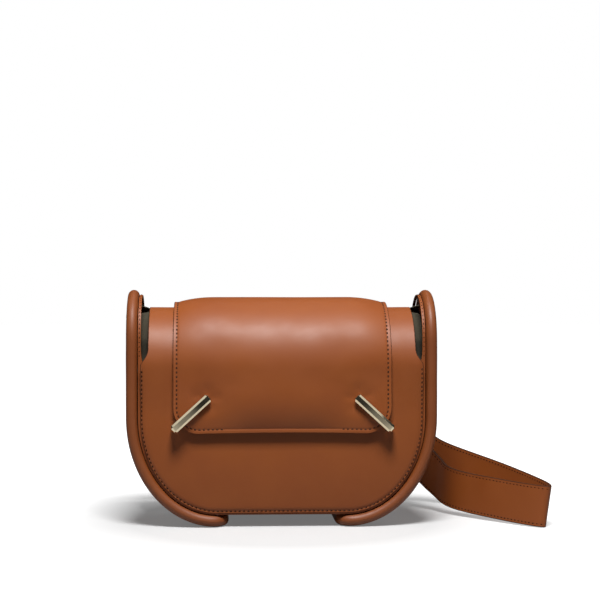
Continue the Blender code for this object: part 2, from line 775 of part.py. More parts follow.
def flap_point(x, run, rise):
    """A point of the flap, a run from its fold, a rise above its underside."""
    radius = FLAP_INSIDE + rise
    angle = FOLD_ANGLE + min(run, FLAP_ARC) / FLAP_INSIDE
    below = max(run - FLAP_ARC, 0)
    middle = max(1 - (x / (FLAP_HALF - FLAP_CORNER)) ** 2, 0)
    below -= FLAP_EDGE_ARCH * middle * smooth(run, FLAP_ARC, FLAP_RUN)
    return Vector((x, ROLL_Y + radius * math.cos(angle), ROLL_Z + radius * math.sin(angle) - below))


def flap_rows(inset, start):
    """Rows of (run, half width) from the fold to the flap's rounded lower edge."""
    corner = max(FLAP_CORNER - inset, LAYER_GAP)
    half = FLAP_HALF - inset
    end = FLAP_RUN - inset
    rows = []
    for step in range(FLAP_ROLL_ROWS):
        rows.append((start + (FLAP_ARC - start) * step / FLAP_ROLL_ROWS, half))
    for step in range(FLAP_FRONT_ROWS):
        rows.append((FLAP_ARC + (end - corner - FLAP_ARC) * step / FLAP_FRONT_ROWS, half))
    for step in range(FLAP_CORNER_ROWS + 1):
        angle = math.pi / 2 * step / FLAP_CORNER_ROWS
        rows.append((end - corner * (1 - math.sin(angle)), half - corner * (1 - math.cos(angle))))
    return rows


def pivot_places(rise):
    """The two bars' posts, local +Z out of the flap, at a rise above its underside."""
    places = []
    for side in (-1, 1):
        where = Vector((side * BAR_PIVOT_X, ROLL_Y - FLAP_INSIDE - rise, BAR_PIVOT_Z))
        places.append(Matrix.Translation(where) @ Matrix.Rotation(math.pi / 2, 4, 'X'))
    return places


def make_flap():
    """Flap leather, its pad and its lining, and the fold that they hang from."""
    start = FOLD_RADIUS + CLEARANCE
    rows = flap_rows(0, start)

    def outside(column, row):
        run, half = rows[row]
        x = -across(column, FLAP_COLUMNS) * half
        return flap_point(x, run, FLAP_EDGE_RISE + flap_crown(x, run))

    leather = shell("flap", FLAP_COLUMNS, len(rows) - 1, outside, LEATHER, FINISH["leather"])
    hole = disc_mesh("post_hole", POST_RADIUS + POST_CLEARANCE, 0, BAR_STANDOFF)
    cut(leather, "flap_post_holes", hole, pivot_places(0))

    lining_rows = flap_rows(LAYER_GAP, start)

    def underside(column, row):
        run, half = lining_rows[row]
        return flap_point(-across(column, LAYER_COLUMNS) * half, run, LINING)

    shell("flap_lining", LAYER_COLUMNS, len(lining_rows) - 1, underside, LINING,
          FINISH["lining"])

    pad_rows = flap_rows(PAD_MARGIN, FLAP_FOLD_REACH / 2)

    def padding(column, row):
        run, half = pad_rows[row]
        x = -across(column, LAYER_COLUMNS) * half
        return flap_point(x, run, LINING + flap_crown(x, run) - PAD_SLACK)

    pad = shell("flap_pad", LAYER_COLUMNS, len(pad_rows) - 1, padding, FLAP_CROWN_TOP,
                FINISH["foam"])
    pad.modifiers["Wall"].use_even_offset = False
    group = pad.vertex_groups.new(name="thickness")
    for point in pad.data.vertices:
        radius = math.hypot(point.co.y - ROLL_Y, max(point.co.z - ROLL_Z, 0))
        rise = radius - FLAP_INSIDE - FLAP_LEATHER_RISE
        group.add([point.index], rise / FLAP_CROWN_TOP, 'REPLACE')
    pad.modifiers["Wall"].vertex_group = group.name
    hole = disc_mesh("nut_hole", NUT_RADIUS + NUT_CLEARANCE, 0, BAR_STANDOFF)
    cut(pad, "pad_nut_holes", hole, pivot_places(0))

    low = FLAP_LEATHER_RISE
    for label, where in zip(("left_", "right_"), pivot_places(0)):
        nut = ring_mesh("nut", POST_RADIUS + CLEARANCE, NUT_RADIUS, low, low + NUT_THICKNESS)
        stand(label + "post_nut", nut, where, FINISH["steel"])

    length = FLAP_HALF - FOLD_MARGIN
    turn = Matrix.Translation((0, FOLD_Y, FOLD_Z)) @ Matrix.Rotation(math.pi / 2, 4, 'Y')
    stand("flap_fold", disc_mesh("fold", FOLD_RADIUS, -length, length), turn,
          FINISH["leather"])


def make_bar(side, label):
    """A clasp bar, its outer end bent towards the bag, on a post of its own."""
    frame = pivot_places(BAR_STANDOFF)[0 if side < 0 else 1]
    aim = -BAR_ANGLE if side > 0 else math.pi + BAR_ANGLE
    turn = Matrix.Rotation(aim, 4, 'Z')
    upright = Matrix.Rotation(math.pi / 2, 4, 'X')
    end = BAR_LENGTH - BAR_TAIL
    leg = BAR_STANDOFF + FLAP_GAP - BAR_LEG_GAP
    outline = (
        (-BAR_TAIL, 0), (end - BAR_LEG, 0), (end - BAR_LEG, -leg), (end, -leg),
        (end, BAR_THICKNESS), (-BAR_TAIL, BAR_THICKNESS),
    )
    curve = bpy.data.curves.new(label + "bar", 'CURVE')
    curve.dimensions = '2D'
    curve.fill_mode = 'BOTH'
    curve.extrude = BAR_WIDTH / 2
    line = curve.splines.new('POLY')
    line.points.add(len(outline) - 1)
    for point, (x, z) in zip(line.points, outline):
        point.co = (x, z, 0, 1)
    line.use_cyclic_u = True
    flat = bpy.data.objects.new(label + "bar_outline", curve)
    bpy.context.scene.collection.objects.link(flat)
    bpy.context.view_layer.update()
    seen = flat.evaluated_get(bpy.context.evaluated_depsgraph_get())
    mesh = bpy.data.meshes.new_from_object(seen)
    bpy.data.objects.remove(flat, do_unlink=True)
    shape = bmesh.new()
    shape.from_mesh(mesh)
    bmesh.ops.remove_doubles(shape, verts=shape.verts, dist=MERGE)
    bmesh.ops.dissolve_limit(shape, angle_limit=FLAT_ANGLE, verts=shape.verts,
                             edges=shape.edges)
    bmesh.ops.recalc_face_normals(shape, faces=shape.faces)
    shape.to_mesh(mesh)
    shape.free()
    mesh.transform(turn @ upright)
    bar = stand(label + "bar", mesh, frame, FINISH["gold"])
    edge = bar.modifiers.new("Edge", 'BEVEL')
    edge.width = BAR_BEVEL
    edge.segments = 2
    edge.limit_method = 'ANGLE'
    low = FLAP_LEATHER_RISE - BAR_STANDOFF
    post = disc_mesh("post", POST_RADIUS, low, -CLEARANCE)
    stand(label + "post", post, frame, FINISH["gold"])


def spline_point(points, span, share):
    """A point on the smooth curve through a list of points."""
    before = points[max(span - 1, 0)]
    start = points[span]
    end = points[span + 1]
    after = points[min(span + 2, len(points) - 1)]
    leave = (end - before) / 2
    arrive = (after - start) / 2
    square, cube = share * share, share ** 3
    return ((2 * cube - 3 * square + 1) * start + (cube - 2 * square + share) * leave
            + (3 * square - 2 * cube) * end + (cube - square) * arrive)


def strap_end(side):
    """The strap's centre line at one ear, from its tip to the rim it crosses."""
    rows = []
    length = STRAP_TIP + STRAP_RAMP
    for step in range(2 * STRAP_STEPS):
        y = length * step / (2 * STRAP_STEPS) - STRAP_TIP
        ramp = smooth(y, STRAP_FLAT, STRAP_RAMP)
        x = STRAP_EAR_X + (STRAP_OVER_RIM_X - STRAP_EAR_X) * ramp
        half = STRAP_WIDTH / 2
        if step == 0:
            half -= STRAP_TIP_ROUND
        rows.append((Vector((side * x, y, STRAP_Z)), half))
    return rows


def make_strap():
    """One strap from ear to ear, standing on its edge where it meets the floor."""
    route = [Vector((-STRAP_OVER_RIM_X, STRAP_RAMP, STRAP_Z))]
    for x, y, z in STRAP_ROUTE_SHARES:
        climb = STRAP_REST_Z + (STRAP_Z - STRAP_REST_Z) * z
        route.append(Vector((x * HALF_WIDTH, y * RIM_HALF_SPAN, climb)))
    route.append(Vector((STRAP_OVER_RIM_X, STRAP_RAMP, STRAP_Z)))
    rows = strap_end(-1)
    for span in range(len(route) - 1):
        for step in range(STRAP_STEPS):
            rows.append((spline_point(route, span, step / STRAP_STEPS), STRAP_WIDTH / 2))
    rows.append((route[-1], STRAP_WIDTH / 2))
    rows += reversed(strap_end(1))
    widths = []
    length = 0
    for index, (point, half) in enumerate(rows):
        before = rows[max(index - 1, 0)][0]
        after = rows[min(index + 1, len(rows) - 1)][0]
        along = (after - before).normalized()
        up = Vector((0, 0, 1))
        widths.append((up - along * up.dot(along)).normalized() * half)
        length += (point - before).length
    print(f"Strap length {length:.3f} m")

    def place(column, row):
        return rows[row][0] + (2 * column - 1) * widths[row]

    strap = shell("strap", 1, len(rows) - 1, place, STRAP_THICKNESS, FINISH["leather"], 0)
    strap.modifiers["Wall"].use_even_offset = False
    cut(strap, "strap_holes", stud_hole(), stud_places(-1) + stud_places(1))


def main():
    """Make every piece of the bag."""
    make_front()
    make_back()
    make_base()
    for side, label in ((-1, "left_"), (1, "right_")):
        make_gusset(side, label)
        make_rim(side, label)
    make_welt("front_welt", -1)
    make_welt("back_welt", 1)
    make_flap()
    for side, label in ((-1, "left_"), (1, "right_")):
        make_bar(side, label)
    make_strap()
    make_studs()


clear_scene()
PARTS = collection("satchel")
CUTTERS = collection("cutters")
FINISH = {
    "leather": material("leather", TAN, 0.42, 0.0),
    "lining": material("lining", OLIVE, 0.95, 0.0),
    "board": material("board", BOARD_GREY, 0.9, 0.0),
    "foam": material("foam", FOAM, 0.95, 0.0),
    "gold": material("gold", GOLD, 0.12, 1.0),
    "steel": material("steel", STEEL, 0.35, 1.0),
    "cord": material("cord", CORD_WHITE, 0.9, 0.0),
}
main()
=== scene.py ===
"""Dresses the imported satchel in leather, lining, thread and metal.

Metres, +Z up, -Y towards the bag's front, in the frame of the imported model.
"""

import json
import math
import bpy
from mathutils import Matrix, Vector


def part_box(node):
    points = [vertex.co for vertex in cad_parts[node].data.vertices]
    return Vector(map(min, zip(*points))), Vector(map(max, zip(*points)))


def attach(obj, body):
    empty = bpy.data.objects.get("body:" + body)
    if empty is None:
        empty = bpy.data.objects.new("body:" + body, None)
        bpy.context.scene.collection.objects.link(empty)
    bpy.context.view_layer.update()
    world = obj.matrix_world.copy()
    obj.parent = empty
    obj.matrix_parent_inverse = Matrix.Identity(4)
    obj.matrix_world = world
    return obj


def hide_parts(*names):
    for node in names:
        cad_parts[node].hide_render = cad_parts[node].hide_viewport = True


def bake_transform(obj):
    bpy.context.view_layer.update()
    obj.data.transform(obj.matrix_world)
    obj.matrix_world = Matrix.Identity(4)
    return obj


bl_info = {
    "name": "Saddle Satchel",
    "version": (1, 0, 0),
    "blender": (4, 5, 0),
    "location": "3D View > Sidebar > Satchel",
    "description": "Dresses a saddle-shaped leather satchel on its packed frame",
    "category": "Add Mesh",
}

import bmesh
import bpy
from bpy.props import FloatProperty, FloatVectorProperty, PointerProperty
from mathutils import Matrix, Vector, noise
from mathutils.bvhtree import BVHTree

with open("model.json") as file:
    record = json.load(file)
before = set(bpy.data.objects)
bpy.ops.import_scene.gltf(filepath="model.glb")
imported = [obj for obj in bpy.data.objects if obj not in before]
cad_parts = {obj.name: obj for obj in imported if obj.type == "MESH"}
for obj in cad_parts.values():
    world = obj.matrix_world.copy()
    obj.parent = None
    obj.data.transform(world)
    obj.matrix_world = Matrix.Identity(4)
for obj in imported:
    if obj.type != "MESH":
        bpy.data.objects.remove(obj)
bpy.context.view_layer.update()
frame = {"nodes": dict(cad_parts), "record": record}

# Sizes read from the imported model
HALF_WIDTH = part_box("right_rim")[1].x
FLOOR_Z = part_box("right_rim")[0].z
EAR_TOP_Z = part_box("right_rim")[1].z
RIM_OUTER_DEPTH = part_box("right_rim")[1].y
FLAP_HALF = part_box("flap")[1].x
BASE_HALF_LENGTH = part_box("base_strip")[1].x
BASE_HALF_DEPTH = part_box("base_strip")[1].y
BASE_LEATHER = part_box("base_strip")[1].z

# Overall form
RIM_DIAMETER = 0.0082
CORNER_HEIGHT = 0.0775
BASE_HALF = 0.0465
SHOULDER_HEIGHT = 0.1563
CLEARANCE = 0.0003
LAYER_GAP = 0.0004

# Leather, board and lining thicknesses
LEATHER = 0.0016
BOARD = 0.0012
LINING = 0.0008
GUSSET_LEATHER = 0.0018
WELT_LEATHER = 0.0014
POCKET_LEATHER = 0.0010

# Front and back panels
FRONT_DEPTH = 0.0380
BACK_DEPTH = 0.0360
ROLL_RADIUS = 0.0430
PANEL_INSET = 0.0103
LAYER_INSET = 0.0136
CROWN_REACH = 0.0400
CROWN_POWER = 2.2
SHOULDER_HALF = 0.0953
SHOULDER_LAYER_STEP = 0.0015
NOTCH_HEIGHT = 0.1200
NOTCH_LENGTH = 0.0040
MOUTH_EDGE_STEP = 0.0010
MOUTH_DROP = 0.0050

# Fold that the flap swings on
FOLD_ANGLE = math.radians(54.3)
FOLD_RADIUS = 0.0010
FOLD_SKIN_REACH = 0.0070
FOLD_SKIN = 0.0006

# Seam strips, gussets and feet
WELT_WIDTH = 0.0045
WELT_LIP = 0.0022
GUSSET_INSET = 0.0050
FOOT_INNER = 0.0420
FOOT_CORNER = 0.0090
EAR_LINING_HEIGHT = 0.1570
EAR_TOP_SHARE = 0.985
GUSSET_LINING_START = 0.0575
BASE_BOARD_HALF_LENGTH = 0.0480
BASE_BOARD_MARGIN = 0.0030

# Slip pocket
POCKET_WIDTH = 0.1100
POCKET_HEIGHT = 0.0650
POCKET_TOP = 0.1180

# Flap
FLAP_EDGE_HEIGHT = 0.0672
FLAP_CORNER = 0.0182
FLAP_GAP = 0.0006
FLAP_CROWN_TOP = 0.0044
FLAP_CROWN_FRONT = 0.0028
FLAP_CROWN_MIDDLE = 0.0060
FLAP_CROWN_FLANK = 0.0180
FLAP_CROWN_REACH = 0.0270
FLAP_FOLD_REACH = 0.0260
FLAP_EDGE_ARCH = 0.0007
FLAP_MARGIN = 0.0030
DIMPLE_DEPTH = 0.0014
DIMPLE_INNER = 0.0028
DIMPLE_RADIUS = 0.0150

# Clasp bars
BAR_PIVOT_INSET = 0.0235
BAR_PIVOT_RISE = 0.0240
BAR_ANGLE = math.radians(42.4)
BAR_LENGTH = 0.0355
BAR_TAIL = 0.0032
BAR_WIDTH = 0.0060
BAR_THICKNESS = 0.0038
BAR_STANDOFF = 0.0050
BAR_LEG = 0.0032
BAR_LEG_GAP = 0.0004
BAR_BEND = 0.0024
BAR_CHAMFER = 0.0015
BAR_BURR = 0.0003

# Strap
STRAP_WIDTH = 0.0295
STRAP_THICKNESS = 0.0024
STRAP_DROP = 0.0327
STRAP_TIP = 0.0120
STRAP_FLAT = 0.0040
STRAP_RAMP = 0.0200
STRAP_TIP_ROUND = 0.0110
STUD_Y = -0.0040
STUD_PITCH = 0.0140
STUD_HEAD_RADIUS = 0.0032
STUD_SHANK_RADIUS = 0.0012
STUD_HEAD = 0.0014

# Where the strap runs behind the bag and out to its right, from the left ear
# to the right one. Shares: of the half width, of the rims' half span, and of the
# climb from the floor to the ears.
STRAP_ROUTE_SHARES = (
    (-1.016, 1.18, 0.99),
    (-0.945, 1.62, 0.965),
    (-0.72, 1.80, 0.905),
    (-0.36, 2.05, 0.80),
    (0.09, 2.40, 0.635),
    (0.545, 2.56, 0.455),
    (0.955, 2.45, 0.27),
    (1.17, 2.12, 0.165),
    (1.50, 0.60, 0.070),
    (1.672, -0.60, 0.016),
    (1.700, -1.18, 0.0),
    (1.645, -1.36, 0.0),
    (1.42, -0.50, 0.012),
    (1.17, 0.52, 0.040),
    (1.075, 1.12, 0.105),
    (0.93, 1.68, 0.25),
    (0.76, 1.90, 0.39),
    (0.60, 1.95, 0.49),
    (0.455, 1.88, 0.55),
    (0.40, 1.64, 0.61),
    (0.455, 1.42, 0.67),
    (0.60, 1.34, 0.75),
    (0.76, 1.35, 0.85),
    (0.925, 1.48, 0.95),
    (1.016, 1.18, 0.99),
)

# Sizes that follow from those above
CORNER_RUN = HALF_WIDTH - BASE_HALF
RIM_RADIUS = RIM_DIAMETER / 2
RIM_HALF_SPAN = RIM_OUTER_DEPTH - RIM_RADIUS
CORNER_Z = FLOOR_Z + CORNER_HEIGHT
EAR_CENTRE_Z = EAR_TOP_Z - RIM_RADIUS - RIM_HALF_SPAN
ROLL_Y = ROLL_RADIUS - FRONT_DEPTH
ROLL_Z = FLOOR_Z + SHOULDER_HEIGHT - ROLL_RADIUS
NOTCH_Z = FLOOR_Z + NOTCH_HEIGHT
SEAM_DEPTH = RIM_HALF_SPAN + WELT_LEATHER / 2 + LAYER_GAP + LEATHER
FRONT_CROWN = FRONT_DEPTH - SEAM_DEPTH
BACK_CROWN = BACK_DEPTH - SEAM_DEPTH
LINING_DEPTH = LEATHER + LAYER_GAP + BOARD + LAYER_GAP
WALL_DEPTH = LINING_DEPTH + LINING
FLAP_EDGE_Z = FLOOR_Z + FLAP_EDGE_HEIGHT
FLAP_INSIDE = ROLL_RADIUS + FLAP_GAP
FLAP_LEATHER_RISE = LINING + LAYER_GAP
FLAP_EDGE_RISE = FLAP_LEATHER_RISE + LEATHER
FOLD_LINE_RADIUS = FLAP_INSIDE + FLAP_EDGE_RISE / 2
FOLD_Y = ROLL_Y + FOLD_LINE_RADIUS * math.cos(FOLD_ANGLE)
FOLD_Z = ROLL_Z + FOLD_LINE_RADIUS * math.sin(FOLD_ANGLE)
BACK_TOP_Z = FOLD_Z - FOLD_RADIUS - CLEARANCE
FLAP_ARC = FLAP_INSIDE * (math.pi - FOLD_ANGLE)
FLAP_RUN = FLAP_ARC + ROLL_Z - FLAP_EDGE_Z
BAR_PIVOT_X = FLAP_HALF - BAR_PIVOT_INSET
BAR_PIVOT_Z = FLAP_EDGE_Z + BAR_PIVOT_RISE
WELT_INSET = RIM_DIAMETER + CLEARANCE
EAR_RADIUS = RIM_HALF_SPAN - RIM_RADIUS - CLEARANCE
STRAP_Z = EAR_TOP_Z - STRAP_DROP
STRAP_REST_Z = FLOOR_Z + STRAP_WIDTH / 2 + CLEARANCE
STRAP_EAR_X = HALF_WIDTH - GUSSET_INSET + CLEARANCE + STRAP_THICKNESS / 2
STRAP_OVER_RIM_X = HALF_WIDTH + CLEARANCE + STRAP_THICKNESS / 2
GUSSET_LINING_INSET = GUSSET_INSET + GUSSET_LEATHER + CLEARANCE

# Facets
PANEL_COLUMNS = 84
LAYER_COLUMNS = 30
CORNER_ROWS = 30
SIDE_ROWS = 14
ROLL_ROWS = 36
FLAP_COLUMNS = 84
FLAP_ROLL_ROWS = 44
FLAP_FRONT_ROWS = 20
FLAP_CORNER_ROWS = 20
GUSSET_ROWS = 40
GUSSET_COLUMNS = 16
EAR_STEPS = 40
EAR_ROWS = 16
FOOT_STEPS = 9
RIM_SIDES = 24
STRAP_STEPS = 8
STRAP_COLUMNS = 16
ROUND_STEPS = 40

# Details that the dressing adds
EDGE_BIAS = 0.80
NOTCH_STEPS = 4
MERGE = 0.000001
SHARP_ANGLE = math.radians(35)
SEWN_INSET = 0.0013
SEWN_WIDTH = 0.0016
SEWN_DEPTH = 0.00034
FLAP_SEWN_STEP = 0.0014
FLAP_SEAM_END = 0.0430
STRAP_SEWN = 0.0022
THREAD_SINK = 0.00004
HOLE_SINK = 0.00078
LIP_STITCH_SHARE = 0.62
STRAP_STITCH_SHARE = 0.72
STRAP_LEAN = 0.15
GUSSET_TUCK = 0.0011
FLAP_LIFT = 0.0012
NOTCH_RISE = 0.0100
HOLE_WIDTH = 0.0022
SKIN_SEEK = 0.0040
LINING_WRAP = 0.0090
LINING_WRAP_REACH = 0.0110
STITCH_SIDES = 6
STITCH_RINGS = 5
LONGEST_SEAM = 5.0
WALK_STEP = 0.006
PUCKER_DEPTH = 0.00030
PUCKERS = 5
PUCKER_PHASE = 1.0
RIM_PINCH = 0.10
LIP_COLUMNS = 6
LIP_END_SHARE = 0.93
BEND_STEPS = 6
BAR_TAIL_ROUND = 0.0014
BAR_EDGE_ANGLE = math.radians(50)
BAR_BURR_ANGLE = math.radians(24)
BAR_FLAT_ANGLE = math.radians(8)
STUD_RIM = 0.0004
INSET_TRIES = 24

# Slow waves of hand-worked leather: their number per metre, the slice of noise that
# they are read from, and how far inside a panel's edge they set in and are full
PANEL_WAVES = 38.0
FLAP_WAVES = 30.0
RIM_WAVES = 60.0
WAVE_SLICE = 3.7
WAVE_START = 0.0040
WAVE_FULL = 0.0200

# Swelling of the flap's padding, by a short cloth simulation
SWELL_FRAMES = 20
SWELL_QUALITY = 6
SWELL_PRESSURE = 4.0
SWELL_START = 0.80
SWELL_CAP = 0.0018
SWELL_HOLD = 0.0045
POST_HOLD = 0.0030
SWEEP_EDGE = 2.5
LEATHER_MASS = 0.30
LEATHER_STRETCH = 25.0
LEATHER_SHEAR = 12.0
LEATHER_BEND = 3.0

# Texture of the finishes: scales per metre, depths in metres, shades as shares of a colour
MOTTLE_SCALE = 28.0
PORE_SCALE = 1500.0
PORE_DEPTH = 0.00005
PORE_SHADE = 0.82
FINE_SCALE = 900.0
FINE_DEPTH = 0.00008
POLISH_SCALE = 60.0
COAT_SHARE = 0.32
COAT_ROUGHNESS = 0.40
# Share that darkens the rims' leather: painted shade on the same leather as the panels
RIM_PAINTED_SHADE = 0.80
FIBRE_DARK = 0.55
FIBRE_LIGHT = 1.5
FUZZ_SCALE = 90.0
SHEEN = 0.05
MARK_SCALE = 420.0
MARK_DEPTH = 0.00002
FILM_SCALE = 120.0
FILM_SHADE = 0.93
CARD_SCALE = 500.0
CARD_DEPTH = 0.0001
CARD_SHADE = 0.7
FLOOR_ROUGHNESS = 0.8
FLOOR_GLOSS = 0.1

# Both sides of the bag, with the start of their pieces' names
SIDES = ((-1, "left_"), (1, "right_"))

# Finishes of a hide: its face, its inside and its cut edge
HIDE = ("leather", "flesh", "edge")

# Camera, where the photograph was taken from
CAMERA_TURN = math.radians(-2.5)
CAMERA_DISTANCE = 1.0825
CAMERA_HEIGHT = 0.1600
CAMERA_LENS = 88.5
CAMERA_SENSOR = 36.0
FRAME_PIXELS = 600
CENTRE_PIXEL_X = 280.2
HORIZON_PIXEL_Y = 290

# Stage
FLOOR_HALF = 6.0
FLOOR_GAP = 0.0001
FLOOR_SHADE = 0.26
FLOOR_GLOW_NEAR = 0.15
FLOOR_GLOW_FAR = 1.0
GLOW_START = 0.11
GLOW_END = 0.27
MIRROR_START = 0.22
MIRROR_END = 0.55
WORLD_LIGHT = 0.035


class SatchelSizes(bpy.types.PropertyGroup):
    """Sizes of the details that the dressing adds."""

    stitch_pitch: FloatProperty(
        name="Stitch Pitch", description="Distance from one stitch to the next",
        default=0.0031, min=0.001, subtype='DISTANCE', unit='LENGTH')
    stitch_length: FloatProperty(
        name="Stitch Length", description="Length of the thread seen between two holes",
        default=0.0016, min=0.0005, subtype='DISTANCE', unit='LENGTH')
    thread_width: FloatProperty(
        name="Thread Width", description="Thickness of the thread",
        default=0.00055, min=0.0001, subtype='DISTANCE', unit='LENGTH')
    # The hole's bead is dark: painted shade inside the awl hole
    hole_length: FloatProperty(
        name="Hole Length", description="Length of the sunken bead that darkens an awl hole",
        default=0.0034, min=0.0002, subtype='DISTANCE', unit='LENGTH')
    softness: FloatProperty(
        name="Softness", description="Depth of the slow waves in a leather surface",
        default=0.00015, min=0.0, subtype='DISTANCE', unit='LENGTH')


class SatchelColours(bpy.types.PropertyGroup):
    """Colours of the bag's materials and its stage."""

    leather: FloatVectorProperty(
        name="Leather", description="Tan of the smooth leather", subtype='COLOR',
        default=(0.290, 0.071, 0.010), min=0, max=1)
    leather_deep: FloatVectorProperty(
        name="Leather Shade", description="Deeper tan that the leather is mottled with",
        subtype='COLOR', default=(0.268, 0.063, 0.009), min=0, max=1)
    edge: FloatVectorProperty(
        name="Edge Paint", description="Paint on the leather's cut edges", subtype='COLOR',
        default=(0.078, 0.023, 0.008), min=0, max=1)
    thread: FloatVectorProperty(
        name="Thread", description="Sewing thread", subtype='COLOR',
        default=(0.105, 0.030, 0.010), min=0, max=1)
    lining: FloatVectorProperty(
        name="Lining", description="Olive lining", subtype='COLOR',
        default=(0.043, 0.035, 0.018), min=0, max=1)
    metal: FloatVectorProperty(
        name="Pale Gold", description="Plating of bars, posts and studs", subtype='COLOR',
        default=(0.83, 0.72, 0.50), min=0, max=1)
    floor: FloatVectorProperty(
        name="Floor", description="Pale studio floor", subtype='COLOR',
        default=(0.58, 0.58, 0.58), min=0, max=1)


def sizes():
    """The scene's detail sizes."""
    return bpy.context.scene.satchel_sizes


def colours():
    """The scene's colours."""
    return bpy.context.scene.satchel_colours


# Materials


def shader_base(name, colour, roughness, metallic=0.0):
    """A material with a Principled BSDF, its node tree and that shader."""
    finish = bpy.data.materials.new(name)
    finish.use_nodes = True
    tree = finish.node_tree
    shader = tree.nodes["Principled BSDF"]
    shader.inputs["Base Color"].default_value = (*colour, 1)
    shader.inputs["Roughness"].default_value = roughness
    shader.inputs["Metallic"].default_value = metallic
    return finish, tree, shader


def texture(tree, kind, coordinates, **values):
    """A texture node on given coordinates, with its inputs set by name."""
    node = tree.nodes.new(kind)
    for key, value in values.items():
        node.inputs[key].default_value = value
    tree.links.new(coordinates, node.inputs["Vector"])
    return node


def remap(tree, source, low, high, new_low, new_high):
    """A value moved from one range to another and held there."""
    node = tree.nodes.new("ShaderNodeMapRange")
    for key, value in (("From Min", low), ("From Max", high), ("To Min", new_low),
                       ("To Max", new_high)):
        node.inputs[key].default_value = value
    tree.links.new(source, node.inputs["Value"])
    return node.outputs["Result"]


def blend_colour(tree, share, first, second):
    """A colour between two others; either may be a socket."""
    node = tree.nodes.new("ShaderNodeMix")
    node.data_type = 'RGBA'
    tree.links.new(share, node.inputs["Factor"])
    for key, value in (("A", first), ("B", second)):
        socket = [s for s in node.inputs if s.name == key and s.type == 'RGBA'][0]
        if isinstance(value, bpy.types.NodeSocket):
            tree.links.new(value, socket)
        else:
            socket.default_value = (*value, 1)
    return [s for s in node.outputs if s.type == 'RGBA'][0]


def shaded(colour, share):
    """A colour with each of its channels times a share, held at white."""
    return tuple(min(channel * share, 1) for channel in colour)


def bump(tree, shader, layers):
    """Bump from several heights, each with its distance in metres and its strength."""
    normal = None
    for height, distance, strength in layers:
        node = tree.nodes.new("ShaderNodeBump")
        node.inputs["Distance"].default_value = distance
        node.inputs["Strength"].default_value = strength
        tree.links.new(height, node.inputs["Height"])
        if normal:
            tree.links.new(normal, node.inputs["Normal"])
        normal = node.outputs["Normal"]
    tree.links.new(normal, shader.inputs["Normal"])


def leather_material(name, colour, deep, roughness, grain_strength, gloss=0.5):
    """Smooth dyed leather: slow mottling, pore grain and an uneven polish."""
    finish, tree, shader = shader_base(name, colour, roughness)
    place = tree.nodes.new("ShaderNodeTexCoord").outputs["Object"]
    mottle = texture(tree, "ShaderNodeTexNoise", place, Scale=MOTTLE_SCALE, Detail=5.0,
                     Roughness=0.55)
    share = remap(tree, mottle.outputs["Fac"], 0.36, 0.66, 0.0, 1.0)
    toned = blend_colour(tree, share, colour, deep)
    pores = texture(tree, "ShaderNodeTexVoronoi", place, Scale=PORE_SCALE)
    pore = remap(tree, pores.outputs["Distance"], 0.0, 0.35, 0.0, 1.0)
    speck = remap(tree, pores.outputs["Distance"], 0.05, 0.28, 0.35, 0.0)
    tree.links.new(blend_colour(tree, speck, toned, shaded(deep, PORE_SHADE)),
                   shader.inputs["Base Color"])
    fine = texture(tree, "ShaderNodeTexNoise", place, Scale=FINE_SCALE, Detail=3.0, Roughness=0.6)
    polish = texture(tree, "ShaderNodeTexNoise", place, Scale=POLISH_SCALE, Detail=3.0,
                     Roughness=0.5)
    tree.links.new(remap(tree, polish.outputs["Fac"], 0.3, 0.7, roughness - 0.04, roughness + 0.06),
                   shader.inputs["Roughness"])
    bump(tree, shader, ((pore, PORE_DEPTH, grain_strength),
                        (fine.outputs["Fac"], FINE_DEPTH, grain_strength)))
    shader.inputs["Specular IOR Level"].default_value = gloss
    shader.inputs["Coat Weight"].default_value = COAT_SHARE * gloss
    shader.inputs["Coat Roughness"].default_value = COAT_ROUGHNESS
    return finish


def cloth_material(name, colour, thread_size, strength, roughness=0.95):
    """Woven or brushed cloth: crossing threads and loose fibres."""
    finish, tree, shader = shader_base(name, colour, roughness)
    place = tree.nodes.new("ShaderNodeTexCoord").outputs["Object"]
    fibre = texture(tree, "ShaderNodeTexNoise", place, Scale=0.8 / thread_size, Detail=6.0,
                    Roughness=0.7)
    slow = texture(tree, "ShaderNodeTexNoise", place, Scale=FUZZ_SCALE, Detail=3.0)
    weave = texture(tree, "ShaderNodeTexVoronoi", place, Scale=1 / thread_size, Randomness=0.35)
    share = remap(tree, fibre.outputs["Fac"], 0.3, 0.7, 0.0, 1.0)
    near = blend_colour(tree, share, shaded(colour, FIBRE_DARK), shaded(colour, FIBRE_LIGHT))
    far = remap(tree, slow.outputs["Fac"], 0.3, 0.7, 0.0, 0.5)
    tree.links.new(blend_colour(tree, far, near, colour), shader.inputs["Base Color"])
    bump(tree, shader, ((weave.outputs["Distance"], thread_size / 2, strength),
                        (fibre.outputs["Fac"], thread_size / 2, strength)))
    shader.inputs["Sheen Weight"].default_value = SHEEN
    shader.inputs["Sheen Roughness"].default_value = 0.5
    return finish


def metal_material(name, colour, roughness, brushing):
    """Polished or brushed plating with faint handling marks."""
    finish, tree, shader = shader_base(name, colour, roughness, 1.0)
    place = tree.nodes.new("ShaderNodeTexCoord").outputs["Object"]
    marks = texture(tree, "ShaderNodeTexNoise", place, Scale=MARK_SCALE, Detail=4.0, Roughness=0.6)
    film = texture(tree, "ShaderNodeTexNoise", place, Scale=FILM_SCALE, Detail=2.0)
    tree.links.new(remap(tree, film.outputs["Fac"], 0.35, 0.65, roughness * 0.75, roughness * 1.4),
                   shader.inputs["Roughness"])
    tree.links.new(blend_colour(tree, film.outputs["Fac"], colour, shaded(colour, FILM_SHADE)),
                   shader.inputs["Base Color"])
    bump(tree, shader, ((marks.outputs["Fac"], MARK_DEPTH, brushing),))
    return finish


